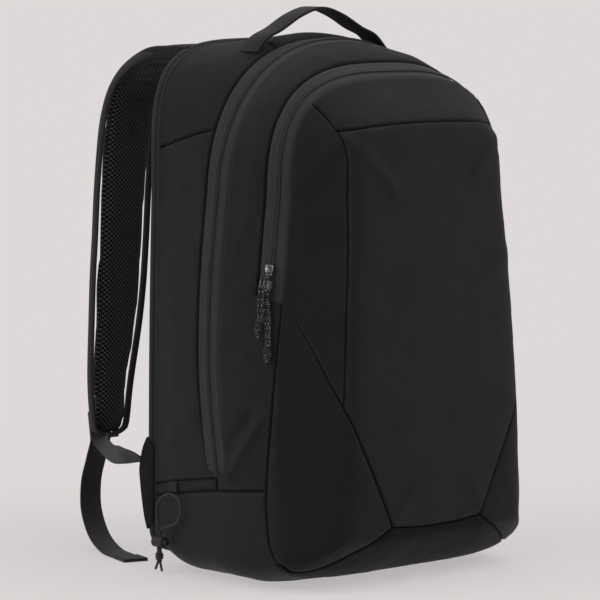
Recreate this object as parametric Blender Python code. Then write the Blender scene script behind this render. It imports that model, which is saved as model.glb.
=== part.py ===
"""School backpack with two zipped compartments, standing on its base.

Frame: metres, +Z up, X across the bag, the front face looks along -Y and the wearer's
back lies at +Y.  The origin is the centre of the flat that the bag stands on.

The shell is described by one family of closed outlines in X-Z, one for each depth Y
(body_point), and by a height field for the front cap (face_point).  Every fabric panel,
zip tape and binding is a strip or a patch of these two surfaces with a real thickness.
"""
import math

import bmesh
import bpy
from mathutils import Matrix, Vector

# ---------------------------------------------------------------- driving dimensions
REAR_Y = 0.095              # plane of the sewn rear edge
FRONT_Y = -0.083            # plane of the sewn front edge
CORNER_Z = 0.055            # top of the bottom corners
SHOULDER_Z = 0.36           # where the sides start to arch over
BULGE_BACK = 0.008          # how far the middle of each side is pushed back
FABRIC = 0.0024             # face fabric, foam and lining together
TAPE = 0.0010               # woven zip tape
GAP = 0.0004                # clearance between neighbouring pieces

# Depth stations of the shell: y, bottom z, half width low, half width at the shoulder,
# top z, power of the top arch (2 is an ellipse, 4 is nearly square).  Where the bottom
# is below zero the bag is flat on the ground.
STATIONS = (
    (0.095, 0.012, 0.1465, 0.1415, 0.497, 4.3),
    (0.055, -0.002, 0.1540, 0.1440, 0.500, 3.2),
    (0.004, -0.002, 0.1580, 0.1460, 0.502, 2.2),
    (-0.040, -0.002, 0.1570, 0.1420, 0.491, 2.5),
    (-0.083, 0.006, 0.1520, 0.1340, 0.4685, 3.1),
)
BOTTOM_POWER = 4.5

BOOT_Z = 0.0875             # top of the fixed base, where the big zip ends
MAIN_ZIP_Y = 0.0            # centre line of the main zip
MAIN_ZIP_HALF = 0.0145      # half of its tape
FRONT_ZIP_END = 0.27        # height at which the front zip ends
FRONT_ZIP_Y = -0.070        # centre line of the front zip
FRONT_ZIP_HALF = 0.013
COIL_HALF = 0.0028
COIL_PROUD = 0.0011

CAP_RISE = 0.056            # how far the front face stands off the front edge
CAP_MARGIN = 0.040          # width of the sloping border of the front cap
CAP_SWELL = 0.006           # extra crown of the face, most at the bottom
YOKE_Z = 0.4225             # seam under the front yoke
SEAM_X = 0.109              # the upright seams of the front face
MAIN_SEAM_FOOT_Z = 0.165    # where the upright seams meet the corner panels

BLACK = (0.020, 0.020, 0.022)


# ---------------------------------------------------------------- scene helpers
def clear_scene():
    for old in list(bpy.data.objects):
        bpy.data.objects.remove(old, do_unlink=True)


def make_material(name, colour, roughness, metallic=0.0):
    material = bpy.data.materials.new(name)
    material.use_nodes = True
    shader = material.node_tree.nodes["Principled BSDF"]
    shader.inputs["Base Color"].default_value = (*colour, 1.0)
    shader.inputs["Roughness"].default_value = roughness
    shader.inputs["Metallic"].default_value = metallic
    return material


def add_solid(name, verts, faces, material):
    """A closed mesh as one object, its faces turned outwards."""
    mesh = bpy.data.meshes.new(name)
    mesh.from_pydata([tuple(v) for v in verts], [], faces)
    work = bmesh.new()
    work.from_mesh(mesh)
    bmesh.ops.recalc_face_normals(work, faces=work.faces)
    work.to_mesh(mesh)
    work.free()
    mesh.shade_smooth()
    mesh.set_sharp_from_angle(angle=math.radians(40))
    mesh.materials.append(material)
    obj = bpy.data.objects.new(name, mesh)
    bpy.context.collection.objects.link(obj)
    return obj


def shell_solid(name, outer, inner, material, wrap=False):
    """Closed solid between two grids of points; wrap joins the last row to the first."""
    rows, cols = len(outer), len(outer[0])
    verts = [p for row in outer for p in row] + [p for row in inner for p in row]
    shift = rows * cols
    faces = []
    for r in range(rows if wrap else rows - 1):
        n = (r + 1) % rows
        for c in range(cols - 1):
            a, b = r * cols + c, r * cols + c + 1
            d, e = n * cols + c, n * cols + c + 1
            faces.append((a, b, e, d))
            faces.append((shift + a, shift + d, shift + e, shift + b))
        for c in (0, cols - 1):
            a, d = r * cols + c, n * cols + c
            faces.append((a, d, shift + d, shift + a))
    if not wrap:
        for r in (0, rows - 1):
            for c in range(cols - 1):
                a, b = r * cols + c, r * cols + c + 1
                faces.append((a, shift + a, shift + b, b))
    return add_solid(name, verts, faces, material)


def loft_solid(name, rings, material, closed=False):
    """Closed solid through equal rings of points; closed joins the last to the first."""
    size = len(rings[0])
    verts = [p for ring in rings for p in ring]
    faces = []
    for r in range(len(rings) if closed else len(rings) - 1):
        n = (r + 1) % len(rings)
        for k in range(size):
            j = (k + 1) % size
            faces.append((r * size + k, r * size + j, n * size + j, n * size + k))
    if not closed:
        faces.append(tuple(range(size)))
        faces.append(tuple((len(rings) - 1) * size + k for k in range(size)))
    return add_solid(name, verts, faces, material)


def smooth_path(points, count):
    """Evenly spaced points on a smooth curve through the given ones."""
    ends = [points[0] * 2 - points[1], *points, points[-1] * 2 - points[-2]]
    fine = []
    steps = 24
    for k in range(1, len(ends) - 2):
        p0, p1, p2, p3 = ends[k - 1:k + 3]
        for i in range(steps):
            t = i / steps
            fine.append(0.5 * (2 * p1 + (p2 - p0) * t + (2 * p0 - 5 * p1 + 4 * p2 - p3) * t * t
                               + (3 * p1 - p0 - 3 * p2 + p3) * t ** 3))
    fine.append(points[-1].copy())
    return resample(fine, count)


def resample(points, count):
    """Evenly spaced points along a polyline."""
    run = [0.0]
    for a, b in zip(points, points[1:]):
        run.append(run[-1] + (b - a).length)
    out = []
    k = 0
    for i in range(count):
        want = run[-1] * i / (count - 1)
        while k < len(run) - 2 and run[k + 1] < want:
            k += 1
        span = run[k + 1] - run[k]
        out.append(points[k].lerp(points[k + 1], (want - run[k]) / span if span else 0.0))
    return out


# ---------------------------------------------------------------- the shell surface
def station(y):
    """Outline values at depth y, smoothly between the stations."""
    last = len(STATIONS) - 2
    k = 0
    while k < last and y < STATIONS[k + 1][0]:
        k += 1
    p1, p2 = STATIONS[k], STATIONS[k + 1]
    p0 = STATIONS[max(k - 1, 0)]
    p3 = STATIONS[min(k + 2, last + 1)]
    t = (y - p1[0]) / (p2[0] - p1[0])
    out = []
    for a, b, c, d in zip(p0, p1, p2, p3):
        out.append(0.5 * (2 * b + (c - a) * t + (2 * a - 5 * b + 4 * c - d) * t * t
                          + (3 * b - a - 3 * c + d) * t ** 3))
    return out


def superellipse(angle, power):
    """Unit superellipse, 0 on the width and a right angle on the height."""
    c, s = math.cos(angle), math.sin(angle)
    r = (abs(c) ** power + abs(s) ** power) ** (-1.0 / power)
    return c * r, s * r


def body_point(y, q, side):
    """Shell point at depth y.  q runs 0-1 under the base, 1-2 up the side and 2-3 over."""
    _, bottom, low, high, top, power = station(y)
    if q <= 1.0:
        x, z = superellipse(math.pi / 2 * (1 - q), BOTTOM_POWER)
        x, z = low * x, max(CORNER_Z - (CORNER_Z - bottom) * z, 0.0)
    elif q <= 2.0:
        t = q - 1.0
        z = CORNER_Z + (SHOULDER_Z - CORNER_Z) * t
        x = low + (high - low) * t * t
    else:
        angle = math.pi / 2 * (q - 2.0)
        x, z = superellipse(angle, power)
        x, z = high * x, SHOULDER_Z + (top - SHOULDER_Z) * z
    depth = (REAR_Y - y) / (REAR_Y - FRONT_Y)
    rise = min(max((z - CORNER_Z) / (0.46 - CORNER_Z), 0.0), 1.0)
    push = BULGE_BACK * math.sin(math.pi * depth) * math.sin(math.pi * rise) ** 2
    return Vector((side * x, y + push, z))


def side_q(z):
    """q of the side at height z."""
    return 1.0 + (z - CORNER_Z) / (SHOULDER_Z - CORNER_Z)


def arch(q_start, up=8, over=12):
    """(side, q) pairs from the left side over the top to the right side."""
    left = [q_start + (2.0 - q_start) * i / up for i in range(up)]
    left += [2.0 + i / over for i in range(over + 1)]
    return [(-1, q) for q in left] + [(1, q) for q in reversed(left[:-1])]


def inward(y, q, side):
    """Unit normal of the shell, pointing into the bag."""
    step = 0.002
    along = body_point(y - step, q, side) - body_point(y + step, q, side)
    q0, q1 = max(q - step * 4, 0.0), min(q + step * 4, 3.0)
    round_it = body_point(y, q1, side) - body_point(y, q0, side)
    n = along.cross(round_it).normalized()
    centre = Vector((0.0, y, 0.25))
    return n if n.dot(centre - body_point(y, q, side)) > 0 else -n


def strip(name, path, depths, material, outer=0.0, thick=FABRIC):
    """Panel of the shell: rows follow path, columns follow depths (a list or a function)."""
    grid_out, grid_in = [], []
    for side, q in path:
        ys = depths(side, q) if callable(depths) else depths
        grid_out.append([body_point(y, q, side) - inward(y, q, side) * outer for y in ys])
        grid_in.append([body_point(y, q, side) + inward(y, q, side) * (thick - outer) for y in ys])
    return shell_solid(name, grid_out, grid_in, material)


# ---------------------------------------------------------------- the front cap
def front_edge(count=96):
    """The front edge in X-Z, as a closed list of points."""
    qs = [3.0 * i / (count // 2) for i in range(count // 2 + 1)]
    left = [body_point(FRONT_Y, q, -1) for q in qs]
    right = [Vector((-p.x, p.y, p.z)) for p in reversed(left[1:-1])]
    return [Vector((p.x, p.z)) for p in left + right]


EDGE = front_edge()


def edge_distance(x, z):
    """Distance from a point of the cap to the front edge."""
    p = Vector((x, z))
    best = 1.0
    for a, b in zip(EDGE, EDGE[1:] + EDGE[:1]):
        ab = b - a
        t = min(max((p - a).dot(ab) / ab.dot(ab), 0.0), 1.0)
        best = min(best, (a + ab * t - p).length)
    return best


def face_point(x, z):
    """Point of the front cap above X-Z."""
    low = min(max((0.14 - z) / 0.12, 0.0), 1.0)
    ratio = min(edge_distance(x, z) / CAP_MARGIN, 1.6)
    soft = 0.16
    flat = 0.5 * (ratio + math.sqrt(1 + soft ** 2) - math.sqrt((ratio - 1) ** 2 + soft ** 2))
    round_ = math.sqrt(max(1 - (1 - min(ratio, 1.0)) ** 2, 0.0))
    rise = CAP_RISE - 0.012 * min(max((z - 0.16) / 0.30, 0.0), 1.0)
    rise *= flat + (round_ - flat) * 0.45 * low
    swell = CAP_SWELL * max(0.0, 1 - (x / 0.13) ** 2) * math.sin(math.pi * min(max(z / 0.46, 0), 1))
    swell *= min(ratio, 1.0)
    return Vector((x, FRONT_Y - rise - swell, z))


def face_inward(x, z):
    step = 0.0015
    dx = face_point(x + step, z) - face_point(x - step, z)
    dz = face_point(x, z + step) - face_point(x, z - step)
    n = dx.cross(dz).normalized()
    return n if n.y > 0 else -n


def patch(name, bottom, top, left, right, size, material, thick=FABRIC):
    """Panel of the cap between four edges in X-Z, all running left to right or upwards."""
    cols, rows = size
    low = resample([Vector(p) for p in bottom], cols)
    high = resample([Vector(p) for p in top], cols)
    west = resample([Vector(p) for p in left], rows)
    east = resample([Vector(p) for p in right], rows)
    grid_out, grid_in = [], []
    for r in range(rows):
        v = r / (rows - 1)
        line_out, line_in = [], []
        for c in range(cols):
            u = c / (cols - 1)
            p = low[c] * (1 - v) + high[c] * v + west[r] * (1 - u) + east[r] * u
            p -= (low[0] * (1 - u) + low[-1] * u) * (1 - v) + (high[0] * (1 - u) + high[-1] * u) * v
            surface = face_point(p.x, p.y)
            line_out.append(surface)
            line_in.append(surface + face_inward(p.x, p.y) * thick)
        grid_out.append(line_out)
        grid_in.append(line_in)
    return shell_solid(name, grid_out, grid_in, material)


def inset_edge(z, inset=0.002):
    """x of the front edge at height z, on the right side, brought inwards."""
    best = 0.0
    for a, b in zip(EDGE, EDGE[1:]):
        if min(a.y, b.y) <= z <= max(a.y, b.y) and a.x < 0 and a.y != b.y:
            best = max(best, -(a.x + (b.x - a.x) * (z - a.y) / (b.y - a.y)))
    return best - inset


def inset_top(x, inset=0.002):
    """z of the top of the front edge at x, brought inwards."""
    top = 0.0
    for a, b in zip(EDGE, EDGE[1:]):
        if min(a.x, b.x) <= -abs(x) <= max(a.x, b.x) and a.y > 0.3 and a.x != b.x:
            top = max(top, a.y + (b.y - a.y) * (-abs(x) - a.x) / (b.x - a.x))
    return top - inset


# ---------------------------------------------------------------- shell panels
def rear_half(cloth, tape, coil, binding):
    rear_line = MAIN_ZIP_Y + MAIN_ZIP_HALF
    path = arch(side_q(BOOT_Z + GAP))
    zip_path = arch(side_q(BOOT_Z + 0.004), up=9, over=14)
    strip("rear_gusset", path, (0.0895, 0.068, 0.045, rear_line + GAP), cloth)
    strip("main_zip_tape_rear", zip_path, (rear_line - GAP, COIL_HALF + GAP), tape, -0.0002, TAPE)
    strip("main_zip_coil_rear", zip_path, (COIL_HALF, GAP / 2), coil, -COIL_PROUD, 0.001)
    rings = []
    for side, q in base_loop(26, 40):
        centre = body_point(REAR_Y - 0.0005, q, side)
        side_way = inward(REAR_Y - 0.0005, q, side)
        back = Vector((0.0, 1.0, 0.0))
        rings.append([centre - side_way * (0.0028 * math.cos(a) - 0.0008) + back * 0.0036 * math.sin(a)
                      for a in (math.pi / 4 * k for k in range(8))])
    loft_solid("rear_binding", rings, binding, closed=True)


def base_loop(under, over):
    """(side, q) pairs once round the outline."""
    half = [1.0 * i / (under // 2) for i in range(under // 2)]
    half += [1.0 + 2.0 * i / (over // 2) for i in range(over // 2)]
    left = [(-1, q) for q in half]
    right = [(1, q) for q in half[1:]]
    return left + [(1, 3.0)] + right[::-1]


def boot(coated):
    """Fixed base: the bottom and the lower sides, and the lower part of the front."""
    rim = side_q(BOOT_Z)
    up = [0.34, 0.42, 0.48, 0.53, 0.59, 0.67, 0.80, 1.0, rim]
    path = [(-1, q) for q in reversed(up)] + [(1, q) for q in up]
    strip("base_boot", path, (0.0905, 0.055, -0.040, -0.062, FRONT_Y + GAP), coated)
    zs = (0.0086, 0.012, 0.02, 0.03, 0.05, 0.07, BOOT_Z - GAP)
    outer, inner = [], []
    for z in zs:
        wide = inset_edge(z, 0.0035)
        xs = [wide * math.sin(math.pi / 2 * k / 9) for k in range(-9, 10)]
        outer.append([face_point(x, z) for x in xs])
        inner.append([face_point(x, z) + face_inward(x, z) * FABRIC for x in xs])
    shell_solid("base_front", outer, inner, coated)


def mid_half(cloth, tape, coil, lining):
    front_line = MAIN_ZIP_Y - MAIN_ZIP_HALF
    zip_path = arch(side_q(BOOT_Z + 0.004), up=9, over=14)
    strip("main_zip_tape_front", zip_path, (front_line + GAP, -COIL_HALF - GAP), tape, -0.0002, TAPE)
    strip("main_zip_coil_front", zip_path, (-COIL_HALF, -GAP / 2), coil, -COIL_PROUD, 0.001)

    zip_edge = FRONT_ZIP_Y + FRONT_ZIP_HALF

    def depths(side, q):
        last = FRONT_Y + GAP if q < side_q(FRONT_ZIP_END - 0.002) else zip_edge + GAP
        first = front_line - GAP
        return [first + (last - first) * k / 3 for k in range(4)]

    ends = [side_q(z) for z in (BOOT_Z + GAP, 0.13, 0.18, 0.23, FRONT_ZIP_END - 0.003, FRONT_ZIP_END)]
    up = ends + [side_q(z) for z in (0.30, 0.33)] + [2.0 + i / 12 for i in range(13)]
    path = [(-1, q) for q in up] + [(1, q) for q in reversed(up[:-1])]
    strip("mid_gusset", path, depths, cloth)

    path = arch(side_q(FRONT_ZIP_END + 0.002), up=4, over=14)
    strip("front_zip_tape_outer", path, (zip_edge - GAP, FRONT_ZIP_Y + COIL_HALF + GAP), tape,
          -0.0002, TAPE)
    strip("front_zip_coil_outer", path, (FRONT_ZIP_Y + COIL_HALF, FRONT_ZIP_Y + GAP / 2), coil,
          -COIL_PROUD, 0.001)
    wall("divider", -0.022, 0.003, BOOT_Z + 0.004, 0.010, lining)


def front_zip_inner(tape, coil):
    path = arch(side_q(FRONT_ZIP_END + 0.002), up=4, over=14)
    strip("front_zip_tape_inner", path, (FRONT_ZIP_Y - COIL_HALF - GAP, FRONT_Y + GAP), tape,
          -0.0002, TAPE)
    strip("front_zip_coil_inner", path, (FRONT_ZIP_Y - GAP / 2, FRONT_ZIP_Y - COIL_HALF), coil,
          -COIL_PROUD, 0.001)


def wall(name, y, thick, low, inset, material):
    """Flat inner wall that fills the outline at depth y, from height low upwards."""
    outline = []
    for side, q in arch(side_q(low), up=6, over=10):
        p = body_point(y, q, side)
        outline.append((p.x * (1 - inset / 0.14), low + (p.z - low) * (1 - inset / 0.4)))
    front = [Vector((x, y, z)) for x, z in outline]
    rear = [Vector((x, y + thick, z)) for x, z in outline]
    loft_solid(name, [front, rear], material)


def cap_panels(cloth, coated):
    split = FRONT_ZIP_END
    zip_x = inset_edge(split)
    foot_x = 0.060                     # where the corner seam crosses the base line
    seam = [(SEAM_X, MAIN_SEAM_FOOT_Z)]

    def mirrored(points):
        return [(-x, z) for x, z in reversed(points)]

    def edge_line(z0, z1, count):
        return [(inset_edge(z0 + (z1 - z0) * k / count), z0 + (z1 - z0) * k / count)
                for k in range(count + 1)]

    base = BOOT_Z + GAP
    corner_right = {
        "bottom": [(foot_x + 0.009, base), (inset_edge(base), base)],
        "top": [(zip_x - 0.008, split - GAP), (zip_x, split - GAP)],
        "left": [(foot_x + 0.009, base), (SEAM_X, MAIN_SEAM_FOOT_Z - 0.002), (zip_x - 0.008, split - GAP)],
        "right": edge_line(base, split - GAP, 6),
    }
    patch("corner_panel_right", *corner_right.values(), (6, 9), coated)
    patch("corner_panel_left", mirrored(corner_right["bottom"]), mirrored(corner_right["top"]),
          [(-x, z) for x, z in corner_right["right"]], [(-x, z) for x, z in corner_right["left"]],
          (6, 9), coated)

    right_side = [(foot_x + 0.0082, base), (SEAM_X - 0.0008, MAIN_SEAM_FOOT_Z), (zip_x - 0.0088, split - GAP)]
    patch("main_panel_lower", [(-foot_x - 0.0082, base), (foot_x + 0.0082, base)],
          [(-zip_x + 0.0088, split - GAP), (zip_x - 0.0088, split - GAP)],
          [(-x, z) for x, z in right_side], right_side, (12, 9), cloth)

    low, high = split + GAP, YOKE_Z
    narrow = SEAM_X - 0.007            # the seams lean inwards at the yoke
    patch("main_panel_upper", [(-SEAM_X + GAP, low), (SEAM_X - GAP, low)],
          [(-narrow + GAP, high - GAP), (narrow - GAP, high - GAP)],
          [(-SEAM_X + GAP, low), (-narrow + GAP, high - GAP)],
          [(SEAM_X - GAP, low), (narrow - GAP, high - GAP)], (12, 8), cloth)
    shoulder = (inset_edge(0.444), 0.444)
    facet = {
        "bottom": [(SEAM_X + GAP, low), (zip_x, low)],
        "top": [(narrow + GAP, high - GAP), (shoulder[0], shoulder[1] - GAP)],
        "left": [(SEAM_X + GAP, low), (narrow + GAP, high - GAP)],
        "right": edge_line(low, shoulder[1] - GAP, 7),
    }
    patch("facet_panel_right", *facet.values(), (5, 9), cloth)
    patch("facet_panel_left", mirrored(facet["bottom"]), mirrored(facet["top"]),
          [(-x, z) for x, z in facet["right"]], [(-x, z) for x, z in facet["left"]], (5, 9), cloth)
    crest_x = [-shoulder[0] * math.cos(math.pi * k / 16) for k in range(17)]
    crest = [(x, max(inset_top(x), shoulder[1])) for x in crest_x]
    crest[0], crest[-1] = (-shoulder[0], shoulder[1] + GAP), (shoulder[0], shoulder[1] + GAP)
    patch("yoke_panel", [(-narrow, high + GAP), (narrow, high + GAP)], crest,
          [(-narrow, high + GAP), crest[0]], [(narrow, high + GAP), crest[-1]], (16, 5), cloth)


def back_wall(mesh_cloth, plastic, lining):
    """The padded back with its stiffener, and the laptop sleeve before it."""
    rings = []
    for y, inset in ((0.0815, 0.012), (0.094, 0.0075), (0.0995, 0.012), (0.1035, 0.030), (0.1045, 0.060)):
        ring = []
        for side, q in base_loop(12, 28):
            p = body_point(REAR_Y - 0.0005, q, side)
            ring.append(Vector((p.x * (1 - inset / 0.146), y, 0.25 + (p.z - 0.25) * (1 - inset / 0.24))))
        rings.append(ring)
    loft_solid("back_pad", rings, mesh_cloth)
    plate("frame_sheet", (0.0, 0.0785, 0.245), (0.250, 0.0016, 0.440), 0.02, plastic)
    plate("laptop_sleeve", (0.0, 0.0520, 0.190), (0.262, 0.0060, 0.330), 0.02, lining)


def plate(name, centre, size, corner, material):
    """Upright board with round corners, its thickness along Y."""
    wide, thick, tall = (v / 2 for v in size)
    outline = []
    for cx, cz, start in ((1, 1, 0), (-1, 1, 90), (-1, -1, 180), (1, -1, 270)):
        for k in range(5):
            a = math.radians(start + 22.5 * k)
            outline.append((cx * (wide - corner) + corner * math.cos(a),
                            cz * (tall - corner) + corner * math.sin(a)))
    middle = Vector(centre)
    loft_solid(name, [[middle + Vector((x, y, z)) for x, z in outline] for y in (-thick, thick)], material)


# ---------------------------------------------------------------- webbing and straps
def ribbon(name, points, wide, thick, material, across, count=16):
    """Flat band along a smooth path; across gives its width direction along the way."""
    path = smooth_path([Vector(p) for p in points], count)
    rings = []
    for i, p in enumerate(path):
        way = (path[min(i + 1, count - 1)] - path[max(i - 1, 0)]).normalized()
        u = i / (count - 1)
        side = Vector(across(u) if callable(across) else across)
        side = (side - way * side.dot(way)).normalized()
        up = way.cross(side)
        w = (wide(u) if callable(wide) else wide) / 2
        t = (thick(u) if callable(thick) else thick) / 2
        soft = min(t, w) * 0.5
        rings.append([p + side * a + up * b for a, b in (
            (w, -t + soft), (w, t - soft), (w - soft, t), (-w + soft, t),
            (-w, t - soft), (-w, -t + soft), (-w + soft, -t), (w - soft, -t))])
    return loft_solid(name, rings, material)


# A shoulder strap hinges where it is sewn on, at y 0.106 and z 0.487.
STRAP_PATH = ((-0.074, 0.112, 0.4875), (-0.075, 0.150, 0.484), (-0.077, 0.186, 0.462),
              (-0.079, 0.2045, 0.425), (-0.081, 0.2120, 0.365), (-0.083, 0.2150, 0.300),
              (-0.085, 0.2195, 0.230), (-0.087, 0.2260, 0.170), (-0.088, 0.2310, 0.139))
LOCK_CENTRE = (-0.0885, 0.2360, 0.1200)
TAIL_PATH = ((-0.0885, 0.2400, 0.1050), (-0.091, 0.2440, 0.085), (-0.095, 0.2470, 0.062),
             (-0.101, 0.2400, 0.036), (-0.110, 0.2180, 0.014), (-0.120, 0.1880, 0.0030),
             (-0.1290, 0.1560, 0.0012), (-0.137, 0.1300, 0.0012))
LOWER_WEB_PATH = ((-0.1560, 0.1120, 0.106), (-0.147, 0.138, 0.104), (-0.130, 0.172, 0.100),
                  (-0.110, 0.205, 0.103), (-0.0940, 0.2240, 0.1080))
WEBBING = 0.025                 # width of the adjuster and handle webbing
WEB_THICK = 0.0018
WING_THICK = 0.0028


def flip(points, side):
    return [(x * -side, y, z) for x, y, z in points]


def shoulder_strap(word, side, pad_cloth, webbing, plastic, cloth):
    def pad_width(u):
        return 0.068 - 0.026 * max(0.0, (u - 0.62) / 0.38) ** 1.6 - 0.010 * max(0.0, (0.12 - u) / 0.12)

    def pad_thick(u):
        return 0.0130 - 0.004 * max(0.0, (u - 0.8) / 0.2)

    ribbon("strap_pad_" + word, flip(STRAP_PATH, side), pad_width, pad_thick, pad_cloth, (1, 0, 0), 22)
    ladder_lock("ladder_lock_" + word, side, plastic)
    ribbon("strap_tail_" + word, flip(TAIL_PATH, side), WEBBING, WEB_THICK, webbing, (1, 0, 0), 18)

    def twist(u):
        # The band leaves the wing upright and lies flat at the ladder lock.
        return (side * -0.3 * (1 - u) + side * -1.0 * u, 0.2 - 0.2 * u, 1.0 - 0.85 * u)

    ribbon("lower_webbing_" + word, flip(LOWER_WEB_PATH, side), 0.020, WEB_THICK, webbing, twist, 12)
    # The sewn wing that holds the lower webbing: how far it stands out, and its height.
    outline = ((0.0, 0.150), (0.0075, 0.128), (0.0115, 0.112), (0.0115, 0.094), (0.0060, 0.066), (0.0, 0.036))
    rings = []
    for dx in (0.0, WING_THICK):
        rings.append([Vector((side * (0.1505 + dx + out * 0.30), 0.0992 + out * 0.8, z))
                      for out, z in outline])
    loft_solid("strap_wing_" + word, rings, cloth)


def ladder_lock(name, side, plastic):
    """Plastic frame with two slots, so three bars, standing across the webbing."""
    cols = (-0.0165, -0.0130, 0.0130, 0.0165)
    rows = (-0.0150, -0.0112, -0.0062, -0.0022, 0.0042, 0.0088, 0.0125)
    holes = {(1, 1), (1, 3)}
    centre = Vector((LOCK_CENTRE[0] * -side, LOCK_CENTRE[1], LOCK_CENTRE[2]))
    turn = Matrix.Rotation(math.radians(-8), 4, "X")
    verts, faces, index = [], [], {}

    def vert(c, r, level):
        key = (c, r, level)
        if key not in index:
            index[key] = len(verts)
            verts.append(centre + turn @ Vector((cols[c], (0.0022, -0.0022)[level], rows[r])))
        return index[key]

    cells = {(c, r) for c in range(3) for r in range(6)} - holes
    for c, r in sorted(cells):
        corners = ((c, r), (c + 1, r), (c + 1, r + 1), (c, r + 1))
        faces.append([vert(*k, 0) for k in corners])
        faces.append([vert(*k, 1) for k in reversed(corners)])
        steps = ((0, -1), (1, 0), (0, 1), (-1, 0))
        for k, (dc, dr) in enumerate(steps):
            if (c + dc, r + dr) not in cells:
                a, b = corners[k], corners[(k + 1) % 4]
                faces.append([vert(*a, 0), vert(*a, 1), vert(*b, 1), vert(*b, 0)])
    add_solid(name, verts, faces, plastic)


HANDLE_Y = 0.027
HANDLE_REACH = 0.070
HANDLE_ARCH = ((-HANDLE_REACH, 0.5035), (-0.052, 0.5105), (-0.026, 0.5235), (0.0, 0.5300),
               (0.026, 0.5235), (0.052, 0.5105), (HANDLE_REACH, 0.5035))


def top_handle(webbing, cloth):
    arch_points = [(x, HANDLE_Y, z) for x, z in HANDLE_ARCH]
    ribbon("carry_handle", arch_points, WEBBING, 0.0028, webbing, (0, 1, 0), 21)
    for word, side in (("left", -1), ("right", 1)):
        path = [(side * x, HANDLE_Y, z) for x, z in ((0.0715, 0.5020), (0.080, 0.4995), (0.090, 0.4975))]
        ribbon("handle_tab_" + word, path, 0.032, 0.0016, cloth, (0, 1, 0), 4)


# ---------------------------------------------------------------- zip sliders and pulls
CORD = 0.0032               # zip-pull cord
SLIDER_LIFT = 0.0015        # underside of a slider above the shell


def off_shell(y, z, side, out):
    """Point at a distance out from the side of the bag, at depth y and height z."""
    q = side_q(z)
    p = body_point(y, q, side)
    p.y = y
    return p - inward(y, q, side) * out


def evaluated_union(base, tool):
    """Mesh of two solids joined into one."""
    joint = base.modifiers.new("join", "BOOLEAN")
    joint.operation = "UNION"
    joint.solver = "EXACT"
    joint.object = tool
    graph = bpy.context.evaluated_depsgraph_get()
    mesh = bpy.data.meshes.new_from_object(base.evaluated_get(graph))
    for old in (base, tool):
        bpy.data.objects.remove(old, do_unlink=True)
    return mesh


def slider_mesh(metal):
    """Slider plate with the bridge for its pull; X points out of the bag, Z up the zip."""
    outline = ((-0.0045, 0.0045), (0.0045, 0.0045), (0.0045, 0.0005), (0.0028, -0.0050), (-0.0028, -0.0050),
               (-0.0045, 0.0005))
    rings = [[Vector((x, y, z)) for y, z in outline] for x in (SLIDER_LIFT, SLIDER_LIFT + 0.0022)]
    base = loft_solid("slider_plate", rings, metal)
    arc = [math.radians(15 * k) for k in range(-1, 14)]
    rings = []
    for a in arc:
        middle = Vector((SLIDER_LIFT + 0.0020 + 0.0034 * math.sin(a), 0.0, 0.0036 * math.cos(a)))
        way = Vector((math.sin(a), 0.0, math.cos(a)))
        rings.append([middle + way * dx + Vector((0.0, dy, 0.0)) for dx, dy in
                      ((-0.0007, -0.0013), (0.0007, -0.0013), (0.0007, 0.0013), (-0.0007, 0.0013))])
    return evaluated_union(base, loft_solid("slider_bridge", rings, metal))


def tube(name, points, diameter, material, count):
    """Round cord along a smooth curve, with filled ends."""
    curve = bpy.data.curves.new(name, "CURVE")
    curve.dimensions = "3D"
    curve.bevel_depth = diameter / 2
    curve.bevel_resolution = 2
    curve.use_fill_caps = True
    curve.render_resolution_u = 0
    path = smooth_path([Vector(p) for p in points], count)
    spline = curve.splines.new("POLY")
    spline.points.add(count - 1)
    for k, p in enumerate(path):
        spline.points[k].co = (*p, 1.0)
    curve.materials.append(material)
    obj = bpy.data.objects.new(name, curve)
    bpy.context.collection.objects.link(obj)


def turned(name, centre, axis, profile, material, sides=10):
    """Turned solid; profile is (distance along the axis, radius)."""
    axis = Vector(axis).normalized()
    across = axis.orthogonal().normalized()
    third = axis.cross(across)
    rings = []
    for along, radius in profile:
        rings.append([Vector(centre) + axis * along
                      + (across * math.cos(a) + third * math.sin(a)) * radius
                      for a in (2 * math.pi * k / sides for k in range(sides))])
    return loft_solid(name, rings, material)


KNOT_PROFILE = ((-0.0070, 0.0016), (-0.0060, 0.0034), (-0.0025, 0.0045), (0.0020, 0.0043), (0.0052, 0.0030),
                (0.0062, 0.0016))
# Each pull: name, zip depth, side, slider height, and its two strands as
# (depth beside the zip, drop below the slider, distance off the shell).
UPPER_STRANDS = (((0.0020, 0.0054, 0.0072), (0.0030, 0.012, 0.0104), (0.0042, 0.030, 0.0098),
                  (0.0050, 0.047, 0.0072)),
                 ((-0.0020, 0.0054, 0.0072), (-0.0012, 0.012, 0.0104), (0.0002, 0.030, 0.0098),
                  (0.0016, 0.047, 0.0072)))
UPPER_KNOT = (0.0052, 0.0540, 0.0070)
LOWER_STRANDS = (((0.0019, 0.0054, 0.0060), (0.0012, 0.012, 0.0052), (-0.0012, 0.030, 0.0046),
                  (-0.0030, 0.054, 0.0046)),
                 ((-0.0019, 0.0054, 0.0060), (-0.0022, 0.012, 0.0052), (-0.0046, 0.030, 0.0046),
                  (-0.0064, 0.054, 0.0046)))
LOWER_KNOT = (-0.0047, 0.0610, 0.0052)
PULLS = (
    ("front", "upper", FRONT_ZIP_Y, -1, 0.2950, UPPER_STRANDS, UPPER_KNOT),
    ("front", "lower", FRONT_ZIP_Y, -1, 0.2805, LOWER_STRANDS, LOWER_KNOT),
    ("main", "upper", MAIN_ZIP_Y, 1, 0.3000, UPPER_STRANDS, UPPER_KNOT),
    ("main", "lower", MAIN_ZIP_Y, 1, 0.2855, LOWER_STRANDS, LOWER_KNOT),
)


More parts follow.
